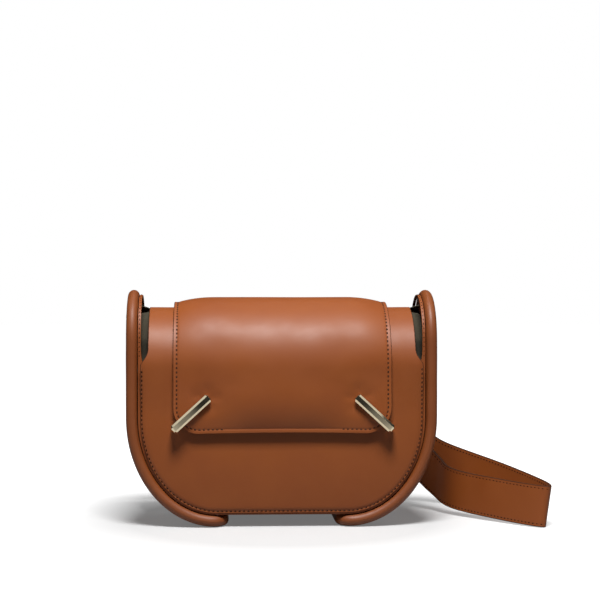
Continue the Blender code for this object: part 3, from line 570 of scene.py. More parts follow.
def card_material(name, colour):
    """Pressed stiffening board with fibres in it."""
    finish, tree, shader = shader_base(name, colour, 0.9)
    place = tree.nodes.new("ShaderNodeTexCoord").outputs["Object"]
    fibres = texture(tree, "ShaderNodeTexNoise", place, Scale=CARD_SCALE, Detail=6.0,
                     Roughness=0.75)
    share = remap(tree, fibres.outputs["Fac"], 0.35, 0.65, 0.0, 1.0)
    tree.links.new(blend_colour(tree, share, colour, shaded(colour, CARD_SHADE)),
                   shader.inputs["Base Color"])
    bump(tree, shader, ((fibres.outputs["Fac"], CARD_DEPTH, 0.4),))
    return finish


# Each finish by its kind; leathers by name, colour, deeper colour, roughness, grain and gloss
MAKERS = {
    "leather": lambda c: leather_material(
        "smooth_leather", c.leather, c.leather_deep, 0.55, 0.10, 0.42),
    # The rims: the panels' leather darkened, painted shade
    "rim": lambda c: leather_material(
        "rim_leather", shaded(c.leather, RIM_PAINTED_SHADE), shaded(c.leather_deep, RIM_PAINTED_SHADE), 0.56, 0.10),
    "flesh": lambda c: leather_material(
        "flesh_side", c.leather_deep, shaded(c.leather_deep, 0.6), 0.62, 0.5),
    "edge": lambda c: leather_material(
        "edge_paint", c.edge, shaded(c.edge, 0.7), 0.66, 0.06, 0.2),
    "thread": lambda c: cloth_material("sewing_thread", c.thread, 0.00018, 0.3, 0.7),
    # Awl holes: dark beads sunk in the leather, painted shade inside the holes
    "hole": lambda c: leather_material(
        "awl_hole_painted_shade", shaded(c.edge, 0.4), shaded(c.edge, 0.3), 0.9, 0.1, 0.1),
    "lining": lambda c: cloth_material("olive_lining", c.lining, 0.0004, 0.5),
    "board": lambda c: card_material("stiffening_board", (0.35, 0.33, 0.30)),
    "gold": lambda c: metal_material("pale_gold_plating", c.metal, 0.09, 0.03),
    "steel": lambda c: metal_material("plated_steel", (0.55, 0.55, 0.56), 0.32, 0.25),
    "cord": lambda c: cloth_material("filler_cord", (0.72, 0.70, 0.65), 0.0006, 0.6),
    "padding": lambda c: cloth_material("soft_padding", (0.70, 0.68, 0.62), 0.0008, 0.6),
}

# The name of each kind's material, once it is made
FINISH_NAMES = {}


def finish_for(kind):
    """The material of one kind, made when it is first asked for."""
    held = bpy.data.materials.get(FINISH_NAMES.get(kind, ""))
    if held is None:
        held = MAKERS[kind](colours())
        FINISH_NAMES[kind] = held.name
    return held


# Shapes that the panels, the flap and the rims share


def corner_point(inset, angle):
    """A point of the bag's lower right corner, inset from its outline."""
    x = BASE_HALF + (CORNER_RUN - inset) * math.cos(angle)
    z = CORNER_Z - (CORNER_HEIGHT - inset) * math.sin(angle)
    return x, z


def inset_at(x, z):
    """How far inside the bag's outline a point of the front view lies."""
    side = abs(x)
    if z >= CORNER_Z:
        return HALF_WIDTH - side
    if side <= BASE_HALF:
        return z - FLOOR_Z
    low, high = 0.0, min(CORNER_RUN, CORNER_HEIGHT)
    for _ in range(INSET_TRIES):
        middle = (low + high) / 2
        over = (side - BASE_HALF) / max(CORNER_RUN - middle, LAYER_GAP)
        down = (CORNER_Z - z) / max(CORNER_HEIGHT - middle, LAYER_GAP)
        if over ** 2 + down ** 2 > 1:
            high = middle
        else:
            low = middle
    return low


def crown(distance, reach):
    """A cushion's rise, 0 at its edge and 1 beyond its reach."""
    inside = min(max(distance / reach, 0), 1)
    return 1 - (1 - inside) ** CROWN_POWER


def smooth(value, start, end):
    """0 before start, 1 after end, easy between."""
    share = min(max((value - start) / (end - start), 0), 1)
    return share * share * (3 - 2 * share)


def groove(distance, centre, width):
    """A soft valley, 1 at its centre line and 0 at its sides."""
    return 1 - smooth(abs(distance - centre), 0, width / 2)


def waves(x, z, scale):
    """Slow undulation of hand-worked leather, about -1 to 1."""
    return noise.noise(Vector((x * scale, WAVE_SLICE, z * scale)))


def panel_drop(x, z, rise):
    """How far a panel falls back towards its seam, with its sewn margin."""
    seam = 1 - smooth(z, NOTCH_Z - CROWN_REACH, NOTCH_Z)
    inside = inset_at(x, z) - PANEL_INSET
    soft = sizes().softness * waves(x, z, PANEL_WAVES) * smooth(inside, WAVE_START, WAVE_FULL)
    below = 1 - smooth(z, NOTCH_Z - 2 * NOTCH_LENGTH, NOTCH_Z)
    sewn = SEWN_DEPTH * groove(inside, SEWN_INSET, SEWN_WIDTH) * below
    margin = SEWN_DEPTH * (1 - smooth(inside, SEWN_INSET, 3 * SEWN_INSET)) * below
    return rise * seam * (1 - crown(inside, CROWN_REACH)) + soft + sewn + margin


def front_point(x, climb, depth):
    """A point of the front, climbing its face and then its rolled top."""
    angle = max(climb - ROLL_Z, 0) / ROLL_RADIUS
    height = min(climb, ROLL_Z) + ROLL_RADIUS * math.sin(angle)
    radius = ROLL_RADIUS - depth - panel_drop(x, height, FRONT_CROWN)
    return Vector((x, ROLL_Y - radius * math.cos(angle),
                   min(climb, ROLL_Z) + radius * math.sin(angle)))


def back_point(x, z, depth):
    """A point of the back, which leans in to the fold at its top."""
    lean = BACK_DEPTH - FOLD_Y - LEATHER / 2
    share = max((z - ROLL_Z) / (BACK_TOP_Z - ROLL_Z), 0)
    return Vector((x, BACK_DEPTH - depth - panel_drop(x, z, BACK_CROWN) - lean * share ** 2, z))


def roll_climb(y):
    """How far up the front's surface its rolled top reaches a given depth."""
    angle = math.acos(min(max((ROLL_Y - y) / ROLL_RADIUS, -1), 1))
    return ROLL_Z + ROLL_RADIUS * angle


def across(column, columns):
    """A column's place from -1 to 1, closer together near the edges."""
    even = 2 * column / columns - 1
    return EDGE_BIAS * math.sin(math.pi / 2 * even) + (1 - EDGE_BIAS) * even


def panel_rows(inset, shoulder_half, top, roll_rows):
    """Rows of (climb, half width) from a panel's foot to its top edge."""
    rows = []
    for step in range(CORNER_ROWS + 1):
        half, climb = corner_point(inset, math.pi / 2 * (1 - step / CORNER_ROWS))
        rows.append((climb, half))
    side = HALF_WIDTH - inset
    below = NOTCH_Z - NOTCH_LENGTH
    for step in range(1, SIDE_ROWS + 1):
        rows.append((CORNER_Z + (below - CORNER_Z) * step / SIDE_ROWS, side))
    for step in range(1, NOTCH_STEPS + 1):
        share = step / NOTCH_STEPS
        half = side + (shoulder_half - side) * math.sin(math.pi / 2 * share)
        rows.append((below + NOTCH_RISE * share, half))
    above = below + NOTCH_RISE
    for step in range(1, roll_rows + 1):
        rows.append((above + (top - above) * step / roll_rows, shoulder_half))
    return rows


def flap_crown(x, run):
    """The padding's rise under the flap's leather, drawn in round the bars' posts."""
    side = crown(FLAP_HALF - abs(x) - FLAP_MARGIN, FLAP_CROWN_REACH)
    end = crown(FLAP_RUN - run - FLAP_MARGIN, FLAP_CROWN_REACH)
    fold = smooth(run, 0, FLAP_FOLD_REACH)
    front = smooth(run, FLAP_ARC / 2, FLAP_ARC + FLAP_CORNER)
    flank = smooth(abs(x), FLAP_CROWN_FLANK, BAR_PIVOT_X - DIMPLE_INNER)
    full = FLAP_CROWN_MIDDLE + (FLAP_CROWN_FRONT - FLAP_CROWN_MIDDLE) * flank
    rise = FLAP_CROWN_TOP + (full - FLAP_CROWN_TOP) * front
    height = ROLL_Z - (run - FLAP_ARC)
    off_x, off_z = abs(x) - BAR_PIVOT_X, height - BAR_PIVOT_Z
    away = math.hypot(off_x, off_z)
    pull = 1 - smooth(away, DIMPLE_INNER, DIMPLE_RADIUS)
    turn = math.atan2(off_z, off_x)
    pucker = PUCKER_DEPTH * math.cos(PUCKERS * turn + PUCKER_PHASE)
    pucker *= pull * smooth(away, 0, DIMPLE_RADIUS / 2)
    soft = sizes().softness * waves(x, run, FLAP_WAVES) * side * end
    return rise * side * end * fold - DIMPLE_DEPTH * pull + pucker + soft


def flap_inside(x, run):
    """How far inside the flap's outline a point of its surface lies."""
    side, end = FLAP_HALF - abs(x), FLAP_RUN - run
    if side < FLAP_CORNER and end < FLAP_CORNER:
        return FLAP_CORNER - math.hypot(FLAP_CORNER - side, FLAP_CORNER - end)
    return min(side, end)


def flap_spot(point):
    """Where on the flap a point of it lies: across, and along from the fold."""
    if point.z < ROLL_Z:
        return point.x, FLAP_ARC + ROLL_Z - point.z
    angle = math.atan2(point.z - ROLL_Z, point.y - ROLL_Y)
    return point.x, (angle - FOLD_ANGLE) * FLAP_INSIDE


def flap_held(point):
    """1 where the flap's leather is sewn down or held by a post, 0 where it is free."""
    x, run = flap_spot(point)
    inside = min(flap_inside(x, run), run)
    away = math.hypot(abs(x) - BAR_PIVOT_X, point.z - BAR_PIVOT_Z)
    post = 1 - smooth(away, POST_HOLD, 2 * POST_HOLD)
    return max(1 - smooth(inside, SWELL_HOLD, 2 * SWELL_HOLD), post)


def flap_most(point):
    """How far a point of the flap may move: not at all where the bars turn over it."""
    inner, above = BAR_PIVOT_X - BAR_WIDTH, BAR_PIVOT_Z + BAR_WIDTH
    margin = (SWEEP_EDGE - 1) * BAR_WIDTH
    swept = smooth(abs(point.x), inner - margin, inner)
    swept *= 1 - smooth(point.z, above, above + margin)
    return SWELL_CAP * (1 - swept)


def flap_point(x, run, rise):
    """A point of the flap, a run from its fold, a rise above its underside."""
    radius = FLAP_INSIDE + rise
    angle = FOLD_ANGLE + min(run, FLAP_ARC) / FLAP_INSIDE
    below = max(run - FLAP_ARC, 0)
    middle = max(1 - (x / (FLAP_HALF - FLAP_CORNER)) ** 2, 0)
    low = smooth(run, FLAP_ARC, FLAP_RUN)
    below -= FLAP_EDGE_ARCH * middle * low
    return Vector((x, ROLL_Y + radius * math.cos(angle) - FLAP_LIFT * low,
                   ROLL_Z + radius * math.sin(angle) - below))


def flap_top(x, run, share=1):
    """A point of the flap's outer surface, with a share of its padding's rise."""
    sewn = SEWN_DEPTH * groove(flap_inside(x, run), SEWN_INSET + FLAP_SEWN_STEP, SEWN_WIDTH)
    return flap_point(x, run, FLAP_EDGE_RISE + share * flap_crown(x, run) - sewn)


def flap_rows(inset, start):
    """Rows of (run, half width) from the fold to the flap's rounded lower edge."""
    corner = max(FLAP_CORNER - inset, LAYER_GAP)
    half = FLAP_HALF - inset
    end = FLAP_RUN - inset
    rows = []
    for step in range(FLAP_ROLL_ROWS):
        rows.append((start + (FLAP_ARC - start) * step / FLAP_ROLL_ROWS, half))
    for step in range(FLAP_FRONT_ROWS):
        rows.append((FLAP_ARC + (end - corner - FLAP_ARC) * step / FLAP_FRONT_ROWS, half))
    for step in range(FLAP_CORNER_ROWS + 1):
        angle = math.pi / 2 * step / FLAP_CORNER_ROWS
        rows.append((end - corner * (1 - math.sin(angle)), half - corner * (1 - math.cos(angle))))
    return rows


def rim_stations():
    """The rim's closed path: point, outward direction in the gusset's surface, normal."""
    stations = []
    for step in range(EAR_STEPS + 1):
        angle = math.pi * step / EAR_STEPS
        outward = Vector((0, -math.cos(angle), math.sin(angle)))
        point = Vector((HALF_WIDTH - RIM_RADIUS, 0, EAR_CENTRE_Z)) + RIM_HALF_SPAN * outward
        stations.append((point, outward, Vector((1, 0, 0))))
    for step in range(1, SIDE_ROWS):
        z = EAR_CENTRE_Z + (CORNER_Z - EAR_CENTRE_Z) * step / SIDE_ROWS
        point = Vector((HALF_WIDTH - RIM_RADIUS, RIM_HALF_SPAN, z))
        stations.append((point, Vector((0, 1, 0)), Vector((1, 0, 0))))
    sides = stations[EAR_STEPS + 1:]
    corner_x = FOOT_INNER + FOOT_CORNER
    last = math.acos((corner_x - BASE_HALF) / (CORNER_RUN - RIM_RADIUS))
    back = []
    for step in range(GUSSET_ROWS + 1):
        angle = last * step / GUSSET_ROWS
        x, z = corner_point(RIM_RADIUS, angle)
        slope = Vector((math.cos(angle) / (CORNER_RUN - RIM_RADIUS), 0,
                        -math.sin(angle) / (CORNER_HEIGHT - RIM_RADIUS))).normalized()
        back.append((Vector((x, RIM_HALF_SPAN, z)), Vector((0, 1, 0)), slope))
    stations += back
    foot_y = RIM_HALF_SPAN - FOOT_CORNER
    foot = []
    for step in range(1, FOOT_STEPS + 1):
        angle = math.pi / 2 * (1 - step / FOOT_STEPS)
        outward = Vector((-math.cos(angle), math.sin(angle), 0))
        x = corner_x - FOOT_CORNER * math.cos(angle)
        share = min(max((x - BASE_HALF) / (CORNER_RUN - RIM_RADIUS), 0), 1)
        z = corner_point(RIM_RADIUS, math.acos(share))[1]
        point = Vector((x, foot_y + FOOT_CORNER * math.sin(angle), z))
        foot.append((point, outward, Vector((0, 0, -1))))
    stations += foot
    for group in (reversed(foot), reversed(back), reversed(sides)):
        for point, outward, normal in group:
            mirrored = Vector((point.x, -point.y, point.z))
            stations.append((mirrored, Vector((outward.x, -outward.y, outward.z)), normal))
    return stations


# Meshes


def put(name, mesh, *kinds):
    """A mesh in the scene under its name, with the finishes of its material slots."""
    item = bpy.data.objects.new(name, mesh)
    bpy.context.scene.collection.objects.link(item)
    for kind in kinds:
        mesh.materials.append(finish_for(kind))
    mesh.shade_smooth()
    return item


def grid_mesh(name, columns, rows, place, paint_and_shade_slot=0):
    """A grid whose points are placed by their column and row, its side columns in a material slot
    for dark edge paint and painted gap shade.
    """
    shape = bmesh.new()
    bmesh.ops.create_grid(shape, x_segments=columns, y_segments=rows, size=1)
    for face in shape.faces:
        if int((face.calc_center_median().x + 1) / 2 * columns) in (0, columns - 1):
            face.material_index = paint_and_shade_slot
    for point in shape.verts:
        column = round((point.co.x + 1) / 2 * columns)
        row = round((point.co.y + 1) / 2 * rows)
        point.co = place(column, row)
    mesh = bpy.data.meshes.new(name)
    shape.to_mesh(mesh)
    shape.free()
    return mesh


def hide(name, columns, rows, place, thickness, kinds, offset=-1, even=True, edge_paint_and_gap_shade=False,
         fill=None):
    """A skin given its thickness, with rounded edges.

    Its kinds are the finishes of face, inside and edge. A skin with edge paint and gap shade has
    its edge's finish on its outer columns too, dark paint that also stands as painted shade in the
    gap beside it. A fill reshapes the bare skin first.
    """
    # The outer columns take the dark edge paint, which also serves as painted shade in the gap
    # beside the piece
    paint_and_shade_slot = 2 if edge_paint_and_gap_shade and len(kinds) > 2 else 0
    item = put(name, grid_mesh(name, columns, rows, place, paint_and_shade_slot), *kinds)
    if fill:
        fill(item)
    wall = item.modifiers.new("Wall", 'SOLIDIFY')
    wall.thickness = thickness
    wall.offset = offset
    wall.use_even_offset = even
    wall.material_offset = 1 if len(kinds) > 1 else 0
    wall.material_offset_rim = 2 if len(kinds) > 2 else 0
    return round_off(item)


def round_off(item):
    """Soften a piece's edges and facets."""
    soft = item.modifiers.new("Rounding", 'SUBSURF')
    soft.levels = 1
    soft.render_levels = 1
    return item


def face_outward(mesh, weld=False):
    """Turn a mesh's faces outward, its doubled points welded first where asked."""
    shape = bmesh.new()
    shape.from_mesh(mesh)
    if weld:
        bmesh.ops.remove_doubles(shape, verts=shape.verts, dist=MERGE)
    bmesh.ops.recalc_face_normals(shape, faces=shape.faces)
    shape.to_mesh(mesh)
    shape.free()


def settle(item):
    """Replace a piece's live modifiers by the mesh that they make."""
    bpy.context.view_layer.update()
    seen = item.evaluated_get(bpy.context.evaluated_depsgraph_get())
    mesh = bpy.data.meshes.new_from_object(seen)
    item.modifiers.clear()
    item.data = mesh
    mesh.name = item.name
    return item


def swell(item, held, most):
    """Blow a sheet up between its held points by cloth simulation, each point up to its most."""
    scene = bpy.context.scene
    start = [point.co.copy() for point in item.data.vertices]
    group = item.vertex_groups.new(name="held")
    for index, point in enumerate(start):
        group.add([index], held(point), 'REPLACE')
    cloth = item.modifiers.new("Swell", 'CLOTH')
    leather = cloth.settings
    leather.quality = SWELL_QUALITY
    leather.mass = LEATHER_MASS
    leather.tension_stiffness = LEATHER_STRETCH
    leather.compression_stiffness = LEATHER_STRETCH
    leather.shear_stiffness = LEATHER_SHEAR
    leather.bending_stiffness = LEATHER_BEND
    leather.vertex_group_mass = group.name
    leather.use_pressure = True
    leather.uniform_pressure_force = SWELL_PRESSURE
    leather.effector_weights.gravity = 0
    cloth.collision_settings.use_collision = False
    cloth.point_cache.frame_start = 1
    cloth.point_cache.frame_end = SWELL_FRAMES
    for step in range(1, SWELL_FRAMES + 1):
        scene.frame_set(step)
    settle(item)
    scene.frame_set(1)
    item.vertex_groups.clear()
    for point, first in zip(item.data.vertices, start):
        move = point.co - first
        reach = min(move.length, most(first))
        point.co = first + move.normalized() * reach if move.length else first
    item.data.shade_smooth()


def turned(name, profile, where, kind):
    """A profile of (radius, height) points turned about Z and put in its place."""
    line = bpy.data.meshes.new(name)
    edges = [(i, i + 1) for i in range(len(profile) - 1)]
    line.from_pydata([(radius, 0, height) for radius, height in profile], edges, [])
    item = put(name, line, kind)
    turn = item.modifiers.new("Turn", 'SCREW')
    turn.steps = ROUND_STEPS
    turn.render_steps = ROUND_STEPS
    turn.use_merge_vertices = True
    turn.merge_threshold = MERGE
    settle(item)
    face_outward(item.data)
    item.data.transform(where)
    item.data.shade_smooth()
    item.data.set_sharp_from_angle(angle=SHARP_ANGLE)
    return item


def stand_for(item, body, slot, *nodes):
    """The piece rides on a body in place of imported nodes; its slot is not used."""
    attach(item, body)
    if nodes:
        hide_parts(*nodes)
    return item


# Stitches


def stitch_tree():
    """Node group: one stitch at each pitch along an edge path, laid along it."""
    tree = bpy.data.node_groups.new("stitches", 'GeometryNodeTree')
    tree.is_modifier = True
    face = tree.interface
    face.new_socket("Geometry", in_out='INPUT', socket_type='NodeSocketGeometry')
    for name in ("Pitch", "Length", "Width", "Start"):
        socket = face.new_socket(name, in_out='INPUT', socket_type='NodeSocketFloat')
        socket.subtype = 'DISTANCE'
    face.new_socket("Finish", in_out='INPUT', socket_type='NodeSocketMaterial')
    face.new_socket("Geometry", in_out='OUTPUT', socket_type='NodeSocketGeometry')
    nodes, links = tree.nodes, tree.links
    given = nodes.new("NodeGroupInput")
    result = nodes.new("NodeGroupOutput")
    path = nodes.new("GeometryNodeMeshToCurve")
    trim = nodes.new("GeometryNodeTrimCurve")
    trim.mode = 'LENGTH'
    # The trim node's length sockets share their names with others, so they go by place
    trim_start, trim_end = trim.inputs[4], trim.inputs[5]
    trim_end.default_value = LONGEST_SEAM
    points = nodes.new("GeometryNodeCurveToPoints")
    points.mode = 'LENGTH'
    # A bead one metre across, which each stitch scales to its own size
    bead = nodes.new("GeometryNodeMeshUVSphere")
    bead.inputs["Segments"].default_value = STITCH_SIDES
    bead.inputs["Rings"].default_value = STITCH_RINGS
    bead.inputs["Radius"].default_value = 0.5
    size = nodes.new("ShaderNodeCombineXYZ")
    shape = nodes.new("GeometryNodeTransform")
    copies = nodes.new("GeometryNodeInstanceOnPoints")
    real = nodes.new("GeometryNodeRealizeInstances")
    paint = nodes.new("GeometryNodeSetMaterial")
    links.new(given.outputs["Geometry"], path.inputs["Mesh"])
    links.new(path.outputs["Curve"], trim.inputs["Curve"])
    links.new(given.outputs["Start"], trim_start)
    links.new(trim.outputs["Curve"], points.inputs["Curve"])
    links.new(given.outputs["Pitch"], points.inputs["Length"])
    links.new(given.outputs["Width"], size.inputs["X"])
    links.new(given.outputs["Width"], size.inputs["Y"])
    links.new(given.outputs["Length"], size.inputs["Z"])
    links.new(bead.outputs["Mesh"], shape.inputs["Geometry"])
    links.new(size.outputs["Vector"], shape.inputs["Scale"])
    links.new(points.outputs["Points"], copies.inputs["Points"])
    links.new(points.outputs["Rotation"], copies.inputs["Rotation"])
    links.new(shape.outputs["Geometry"], copies.inputs["Instance"])
    links.new(copies.outputs["Instances"], real.inputs["Geometry"])
    links.new(real.outputs["Geometry"], paint.inputs["Geometry"])
    links.new(given.outputs["Finish"], paint.inputs["Material"])
    links.new(paint.outputs["Geometry"], result.inputs["Geometry"])
    return tree


def on_skin(skin, paths):
    """Paths of (point, outward normal) moved along their normals onto a piece's surface."""
    bpy.context.view_layer.update()
    surface = BVHTree.FromObject(bpy.data.objects[skin], bpy.context.evaluated_depsgraph_get())
    found = []
    for path in paths:
        hits = [(surface.ray_cast(point + SKIN_SEEK * normal, -normal, 2 * SKIN_SEEK)[0] or point,
                 normal) for point, normal in path]
        found.append(hits)
    return found


def sew(name, skin, paths, body, share=1.0):
    """Thread, and dark sunken beads as painted shade in the awl holes, along paths of (point,
    outward normal) on a skin, a piece of each.
    """
    paths = on_skin(skin, paths)
    tree = bpy.data.node_groups.get("stitches") or stitch_tree()
    given = sizes()
    looks = (("_thread", given.stitch_length, given.thread_width, 0.0, THREAD_SINK, "thread"),
             ("_holes", given.hole_length, HOLE_WIDTH, given.stitch_pitch / 2, HOLE_SINK, "hole"))
    for suffix, length, width, start, sink, kind in looks:
        points, edges = [], []
        for path in paths:
            first = len(points)
            points += [point - share * sink * normal for point, normal in path]
            edges += [(first + i, first + i + 1) for i in range(len(path) - 1)]
        line = bpy.data.meshes.new(name + suffix)
        line.from_pydata(points, edges, [])
        item = put(name + suffix, line)
        work = item.modifiers.new("Stitches", 'NODES')
        work.node_group = tree
        values = {"Pitch": given.stitch_pitch, "Length": length * share, "Width": width * share,
                  "Start": start, "Finish": finish_for(kind)}
        for socket in tree.interface.items_tree:
            if socket.in_out == 'INPUT' and socket.name in values:
                work[socket.identifier] = values[socket.name]
        settle(item)
        item.data.shade_smooth()
        stand_for(item, body, "leather")


# Pieces


def make_wall(wall, point, facing, top, lining_top, roll_rows, lining_rows):
    """The leather and the lining of the front or the back, and its sewn line."""
    layers = (
        ("leather", 0, PANEL_COLUMNS, LEATHER, HIDE, "panel",
         panel_rows(PANEL_INSET, SHOULDER_HALF, top, roll_rows)),
        ("cloth", LINING_DEPTH, LAYER_COLUMNS, LINING, ("lining",), "lining",
         panel_rows(LAYER_INSET, SHOULDER_HALF - SHOULDER_LAYER_STEP, lining_top, lining_rows)),
    )
    for layer, depth, columns, thickness, kinds, node, rows in layers:

        def place(column, row):
            height, reach = rows[row]
            return point(-facing * across(column, columns) * reach, height, depth)

        # Their outer columns are dark edge paint and painted shade in the gap along the rims
        item = hide(wall + "_" + layer, columns, len(rows) - 1, place, thickness, kinds,
                    edge_paint_and_gap_shade=True)
        stand_for(item, "bag", kinds[0], wall + "_" + node)
    line = seam_path(lambda x, z: point(x, z, 0))
    sew(wall + "_seam", wall + "_leather", [with_normal(line, (0, facing, 0))], "bag")


def seam_path(point):
    """Points of the sewn line just inside a wall's edge, from notch to notch."""
    inset = PANEL_INSET + SEWN_INSET
    half = []
    top = NOTCH_Z - 2 * NOTCH_LENGTH
    for step in range(SIDE_ROWS):
        half.append((HALF_WIDTH - inset, top + (CORNER_Z - top) * step / SIDE_ROWS))
    for step in range(CORNER_ROWS + 1):
        half.append(corner_point(inset, math.pi / 2 * step / CORNER_ROWS))
    path = [point(-x, z) for x, z in half]
    path += [point(x, z) for x, z in reversed(half)]
    return path


def with_normal(points, normal):
    """Points paired with one outward normal."""
    return [(point, Vector(normal)) for point in points]


def make_front():
    """Front leather and lining, and the sewn line round them."""
    climb = roll_climb(0)
    make_wall("front", front_point, -1, climb, climb - MOUTH_EDGE_STEP, ROLL_ROWS, ROLL_ROWS // 2)


def make_back():
    """Back leather and lining, the slip pocket and the sewn lines."""
    make_wall("back", back_point, 1, BACK_TOP_Z, BACK_TOP_Z - MOUTH_DROP, SIDE_ROWS, SIDE_ROWS)
    depth = WALL_DEPTH + LAYER_GAP
    top = FLOOR_Z + POCKET_TOP

    def pocket(column, row):
        x = -across(column, LAYER_COLUMNS) * POCKET_WIDTH / 2
        return back_point(x, top - POCKET_HEIGHT * (1 - row / SIDE_ROWS), depth)

    item = hide("pocket_cloth", LAYER_COLUMNS, SIDE_ROWS, pocket, POCKET_LEATHER, ("lining",))
    stand_for(item, "bag", "lining", "slip_pocket")
    half = POCKET_WIDTH / 2 - SEWN_INSET
    foot = top - POCKET_HEIGHT + SEWN_INSET
    outline = [(-half, top), (-half, foot), (half, foot), (half, top)]
    face = depth + POCKET_LEATHER
    line = [back_point(x, z, face) for x, z in walk(outline)]
    sew("pocket_seam", "pocket_cloth", [with_normal(line, (0, -1, 0))], "bag")


def walk(corners):
    """Points along straight lines between corners, close enough to follow a curved panel."""
    points = []
    for (x0, z0), (x1, z1) in zip(corners, corners[1:]):
        steps = max(int(math.hypot(x1 - x0, z1 - z0) / WALK_STEP), 1)
        points += [(x0 + (x1 - x0) * i / steps, z0 + (z1 - z0) * i / steps) for i in range(steps)]
    return points + [corners[-1]]


def make_base():
    """Base leather and base lining."""

    def underside(column, row):
        x = BASE_HALF_LENGTH * (2 * column / LAYER_COLUMNS - 1)
        return Vector((x, BASE_HALF_DEPTH * (1 - 2 * row / SIDE_ROWS), 0))

    item = hide("base_leather", LAYER_COLUMNS, SIDE_ROWS, underside, BASE_LEATHER, HIDE)
    stand_for(item, "bag", "leather", "base_strip")
    depth = BASE_HALF_DEPTH - BASE_BOARD_MARGIN
    height = BASE_LEATHER + LAYER_GAP + BOARD + LAYER_GAP

    def inside(column, row):
        x = BASE_BOARD_HALF_LENGTH * (2 * column / LAYER_COLUMNS - 1)
        return Vector((x, depth * (1 - 2 * row / SIDE_ROWS), height))

    item = hide("base_cloth", LAYER_COLUMNS, SIDE_ROWS, inside, LINING, ("lining",))
    stand_for(item, "bag", "lining", "base_lining")


def gusset_rows(inset, start, corner, top):
    """Rows of (x, z, half depth) from the foot, round the corner and up the ear."""
    rows = []
    turn = (start + corner - BASE_HALF) / (CORNER_RUN - inset)
    first = math.acos(min(max(turn, 0), 1))
    for step in range(FOOT_STEPS if corner else 0):
        turn = math.pi / 2 * step / FOOT_STEPS
        x = start + corner * (1 - math.cos(turn))
        begin = math.acos(min(max((x - BASE_HALF) / (CORNER_RUN - inset), 0), 1))
        rows.append((x, corner_point(inset, begin)[1], EAR_RADIUS - corner * (1 - math.sin(turn))))
    for step in range(GUSSET_ROWS + 1):
        x, z = corner_point(inset, first * (1 - step / GUSSET_ROWS))
        rows.append((x, z, EAR_RADIUS))
    side = HALF_WIDTH - inset
    for step in range(1, SIDE_ROWS + 1):
        rows.append((side, CORNER_Z + (EAR_CENTRE_Z - CORNER_Z) * step / SIDE_ROWS, EAR_RADIUS))
    last = math.asin(min((top - EAR_CENTRE_Z) / EAR_RADIUS, EAR_TOP_SHARE))
    for step in range(1, EAR_ROWS + 1):
        angle = last * step / EAR_ROWS
        rows.append((side, EAR_CENTRE_Z + EAR_RADIUS * math.sin(angle),
                     EAR_RADIUS * math.cos(angle)))
    return rows


def lining_front(z, half):
    """How far forward a side's lining reaches at a height, behind the rolled front."""
    rise = max(z - ROLL_Z, 0)
    inner = ROLL_RADIUS - WALL_DEPTH - LAYER_GAP
    return max(-half, ROLL_Y - math.sqrt(max(inner ** 2 - rise ** 2, 0)))


def make_gusset(side, label):
    """The side strip inside one rim, and its lining."""
    start = FOOT_INNER + RIM_RADIUS + CLEARANCE
    corner = FOOT_CORNER - RIM_RADIUS - CLEARANCE
    rows = gusset_rows(GUSSET_INSET, start, corner, EAR_CENTRE_Z + EAR_RADIUS)
    top = FLOOR_Z + EAR_LINING_HEIGHT
    lining_rows = gusset_rows(GUSSET_LINING_INSET, GUSSET_LINING_START, 0, top)
    last = lining_rows[-1][1]

    def back(column):
        """How far back a column lies, from 0 at the front edge to 1 at the back edge."""
        return column / GUSSET_COLUMNS if side > 0 else 1 - column / GUSSET_COLUMNS

    def outside(column, row):
        x, z, half = rows[row]
        return Vector((side * x, (half + GUSSET_TUCK) * (2 * back(column) - 1), z))

    def inside(column, row):
        x, z, half = lining_rows[row]
        front = lining_front(z, half)
        y = front + (half - front) * back(column)
        wrap = smooth(z, NOTCH_Z - LINING_WRAP_REACH, NOTCH_Z)
        wrap -= smooth(z, last - LINING_WRAP_REACH / 4, last)
        x -= LINING_WRAP * wrap * (1 - smooth(y - front, 0, LINING_WRAP_REACH))
        return Vector((side * x, y, z))

    item = hide(label + "gusset_leather", GUSSET_COLUMNS, len(rows) - 1, outside, GUSSET_LEATHER,
                HIDE, even=False)
    stand_for(item, "bag", "leather", label + "gusset")
    item = hide(label + "gusset_cloth", GUSSET_COLUMNS, len(lining_rows) - 1, inside, LINING,
                ("lining",), even=False)
    stand_for(item, "bag", "lining", label + "gusset_lining")


def make_rim(side, label):
    """A padded tube of leather over its cord, pinched along the seam that closes it."""
    path = rim_stations()
    rows = len(path)

    def place(column, row):
        point, outward, normal = path[row % rows]
        angle = 2 * math.pi * column / RIM_SIDES
        pinch = groove(angle, math.pi, math.pi / 2)
        radius = RIM_RADIUS * (1 - RIM_PINCH * pinch)
        wave = waves(point.z + point.x, point.y + angle / RIM_WAVES, RIM_WAVES)
        radius -= sizes().softness / 2 * (1 + wave)
        spot = point + radius * (math.cos(angle) * outward + math.sin(angle) * normal)
        return Vector((side * spot.x, spot.y, spot.z))

    mesh = grid_mesh(label + "rim_leather", RIM_SIDES, rows, place)
    face_outward(mesh, weld=True)
    # Its finish is the panels' leather darkened, painted shade
    item = put(label + "rim_leather", mesh, "rim")
    stand_for(item, "bag", "leather", label + "rim", label + "rim_cord")


